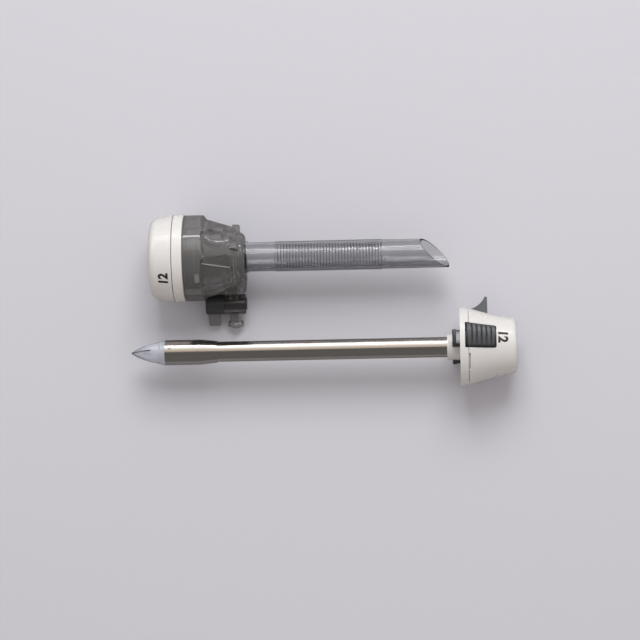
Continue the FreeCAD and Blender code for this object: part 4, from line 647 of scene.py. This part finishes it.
size_mark(
    "cap_size_mark",
    "seal_cap_unit",
    "seal_cap",
    cannula_axis + CAP_MARK,
    -Vector(STOPCOCK_OUT),
    Vector((-1.0, 0.0, 0.0)),
)
size_mark(
    "handle_size_mark",
    "obturator",
    "handle_shell",
    obturator_axis + HANDLE_MARK,
    -Vector(LATCH_ACROSS),
    Vector((1.0, 0.0, 0.0)),
)


# Table.
# A plain pale grey sheet under both units, large enough to fill every view.
# The mouldings and the steel mirror a darker tone of it: a painted reflection, set only for what they
# mirror.

TABLE_SIZE = 6.0
TABLE_DROP = 0.0002
TABLE_TONE = (0.63, 0.625, 0.665)
PAINTED_TABLE_REFLECTION = (0.24, 0.23, 0.23)


def mixed(tree, factor, first, second):
    mix = tree.nodes.new("ShaderNodeMix")
    mix.data_type = "RGBA"
    mix.inputs["A"].default_value = (*first, 1.0)
    mix.inputs["B"].default_value = (*second, 1.0)
    tree.links.new(factor, mix.inputs["Factor"])
    return mix.outputs["Result"]


bpy.ops.object.select_all(action="DESELECT")
bpy.ops.mesh.primitive_plane_add(size=TABLE_SIZE, location=(0, 0, -TABLE_DROP))
table = bpy.context.object
table.name = "table"
table_pale, tree, shader = material_named("table_pale")
shader.inputs["Roughness"].default_value = 0.9
# Painted reflection: glossy rays that are not transmission rays see the table darker.
sight = tree.nodes.new("ShaderNodeLightPath")
opaque = calculated(tree, "SUBTRACT", 1.0, sight.outputs["Is Transmission Ray"])
painted_reflection_share = product(tree, sight.outputs["Is Glossy Ray"], opaque)
tone = mixed(tree, painted_reflection_share, TABLE_TONE, PAINTED_TABLE_REFLECTION)
tree.links.new(tone, shader.inputs["Base Color"])
table.data.materials.append(table_pale)
bpy.ops.object.transform_apply(location=True, rotation=False, scale=False)


# Light.
# A soft box stands over the far side of the table, in a pale room, duller and warmer on the near side.
# What shines mirrors a bright strip in a pale wall beyond the table, beige overhead, and the rest dark.
# The camera sees a plain pale backdrop in the room's place.

KEY_PLACE = Vector((0.1, 0.85, 1.0))
KEY_SIZE = 0.7
KEY_POWER = 10.8
ROOM_STRENGTH = 0.72
BACKDROP = (0.66, 0.655, 0.695)
STRIP_FADE = 0.01
WALL_STRENGTH = 1.3
STRIP_STRENGTH = 11.0
STRIP_LOW = 58
STRIP_HIGH = 63
NEAR_SIDE = (0.55, 0.49, 0.45)
FAR_SIDE = (1.0, 1.0, 1.06)
MIRRORED_TONES = [
    (-95, (0.10, 0.10, 0.10)),
    (4, (0.10, 0.095, 0.09)),
    (12, (0.52, 0.45, 0.38)),
    (32, (0.64, 0.57, 0.49)),
    (38, (1.0, 0.99, 0.98)),
    (80, (1.0, 0.99, 0.98)),
    (88, (0.14, 0.14, 0.15)),
    (120, (0.10, 0.10, 0.10)),
]

bpy.ops.object.light_add(type="AREA", location=KEY_PLACE)
key_light = bpy.context.object
key_light.name = "key_light"
key_light.data.shape = "RECTANGLE"
key_light.data.size = KEY_SIZE
key_light.data.size_y = KEY_SIZE
key_light.data.energy = KEY_POWER
key_light.rotation_euler = (-KEY_PLACE).to_track_quat("-Z", "Y").to_euler()
key_light.visible_glossy = False

room = bpy.data.worlds.new("room")
bpy.context.scene.world = room
room.use_nodes = True
tree = room.node_tree
heading = tree.nodes.new("ShaderNodeTexCoord")
parts = tree.nodes.new("ShaderNodeSeparateXYZ")
tree.links.new(heading.outputs["Generated"], parts.inputs["Vector"])
lean = calculated(tree, "ARCTAN2", parts.outputs["Y"], parts.outputs["Z"])

room_light = tree.nodes["Background"]
room_light.inputs["Strength"].default_value = ROOM_STRENGTH
far_share = ramped(tree, lean, -math.pi / 2, math.pi / 2)
tree.links.new(mixed(tree, far_share, NEAR_SIDE, FAR_SIDE), room_light.inputs["Color"])

mirrored_room = tree.nodes.new("ShaderNodeBackground")
tones = tree.nodes.new("ShaderNodeValToRGB")
for angle, colour in MIRRORED_TONES[1:-1]:
    tones.color_ramp.elements.new(0.5 + angle / 360).color = (*colour, 1.0)
for place, (angle, colour) in ((0, MIRRORED_TONES[0]), (-1, MIRRORED_TONES[-1])):
    tones.color_ramp.elements[place].position = 0.5 + angle / 360
    tones.color_ramp.elements[place].color = (*colour, 1.0)
tree.links.new(ramped(tree, lean, -math.pi, math.pi), tones.inputs["Fac"])
tree.links.new(tones.outputs["Color"], mirrored_room.inputs["Color"])
strip = between(tree, lean, math.radians(STRIP_LOW), math.radians(STRIP_HIGH), STRIP_FADE)
brightness = calculated(tree, "ADD", product(tree, strip, STRIP_STRENGTH), WALL_STRENGTH)
tree.links.new(brightness, mirrored_room.inputs["Strength"])

ray = tree.nodes.new("ShaderNodeLightPath")
shining = tree.nodes.new("ShaderNodeMixShader")
tree.links.new(ray.outputs["Is Glossy Ray"], shining.inputs["Fac"])
tree.links.new(room_light.outputs["Background"], shining.inputs[1])
tree.links.new(mirrored_room.outputs["Background"], shining.inputs[2])
backdrop = tree.nodes.new("ShaderNodeBackground")
backdrop.inputs["Color"].default_value = (*BACKDROP, 1.0)
seen = tree.nodes.new("ShaderNodeMixShader")
tree.links.new(ray.outputs["Is Camera Ray"], seen.inputs["Fac"])
tree.links.new(shining.outputs["Shader"], seen.inputs[1])
tree.links.new(backdrop.outputs["Background"], seen.inputs[2])
tree.links.new(seen.outputs["Shader"], tree.nodes["World Output"].inputs["Surface"])


# Camera.
# A long lens above the handle's side of the pair, tilted back to the middle.
# It is turned a little about its own axis.

IMAGE_WIDTH = 640
FOCAL_PIXELS = 3100
CAMERA_AIM = Vector((-0.0016, -0.0095, 0.020))
CAMERA_SPOT = Vector((0.0720, -0.0095, 1.550))
CAMERA_ROLL = math.radians(1.2)

bpy.ops.object.camera_add()
camera = bpy.context.object
camera.data.sensor_width = 36.0
camera.data.lens = camera.data.sensor_width * FOCAL_PIXELS / IMAGE_WIDTH
back = (CAMERA_SPOT - CAMERA_AIM).normalized()
right = Vector((math.cos(CAMERA_ROLL), -math.sin(CAMERA_ROLL), 0.0))
right = (right - back * right.dot(back)).normalized()
up = back.cross(right)
turned = Matrix((right, up, back)).transposed().to_4x4()
camera.matrix_world = Matrix.Translation(CAMERA_SPOT) @ turned
bpy.context.scene.camera = camera
bpy.context.scene.view_settings.view_transform = "Standard"
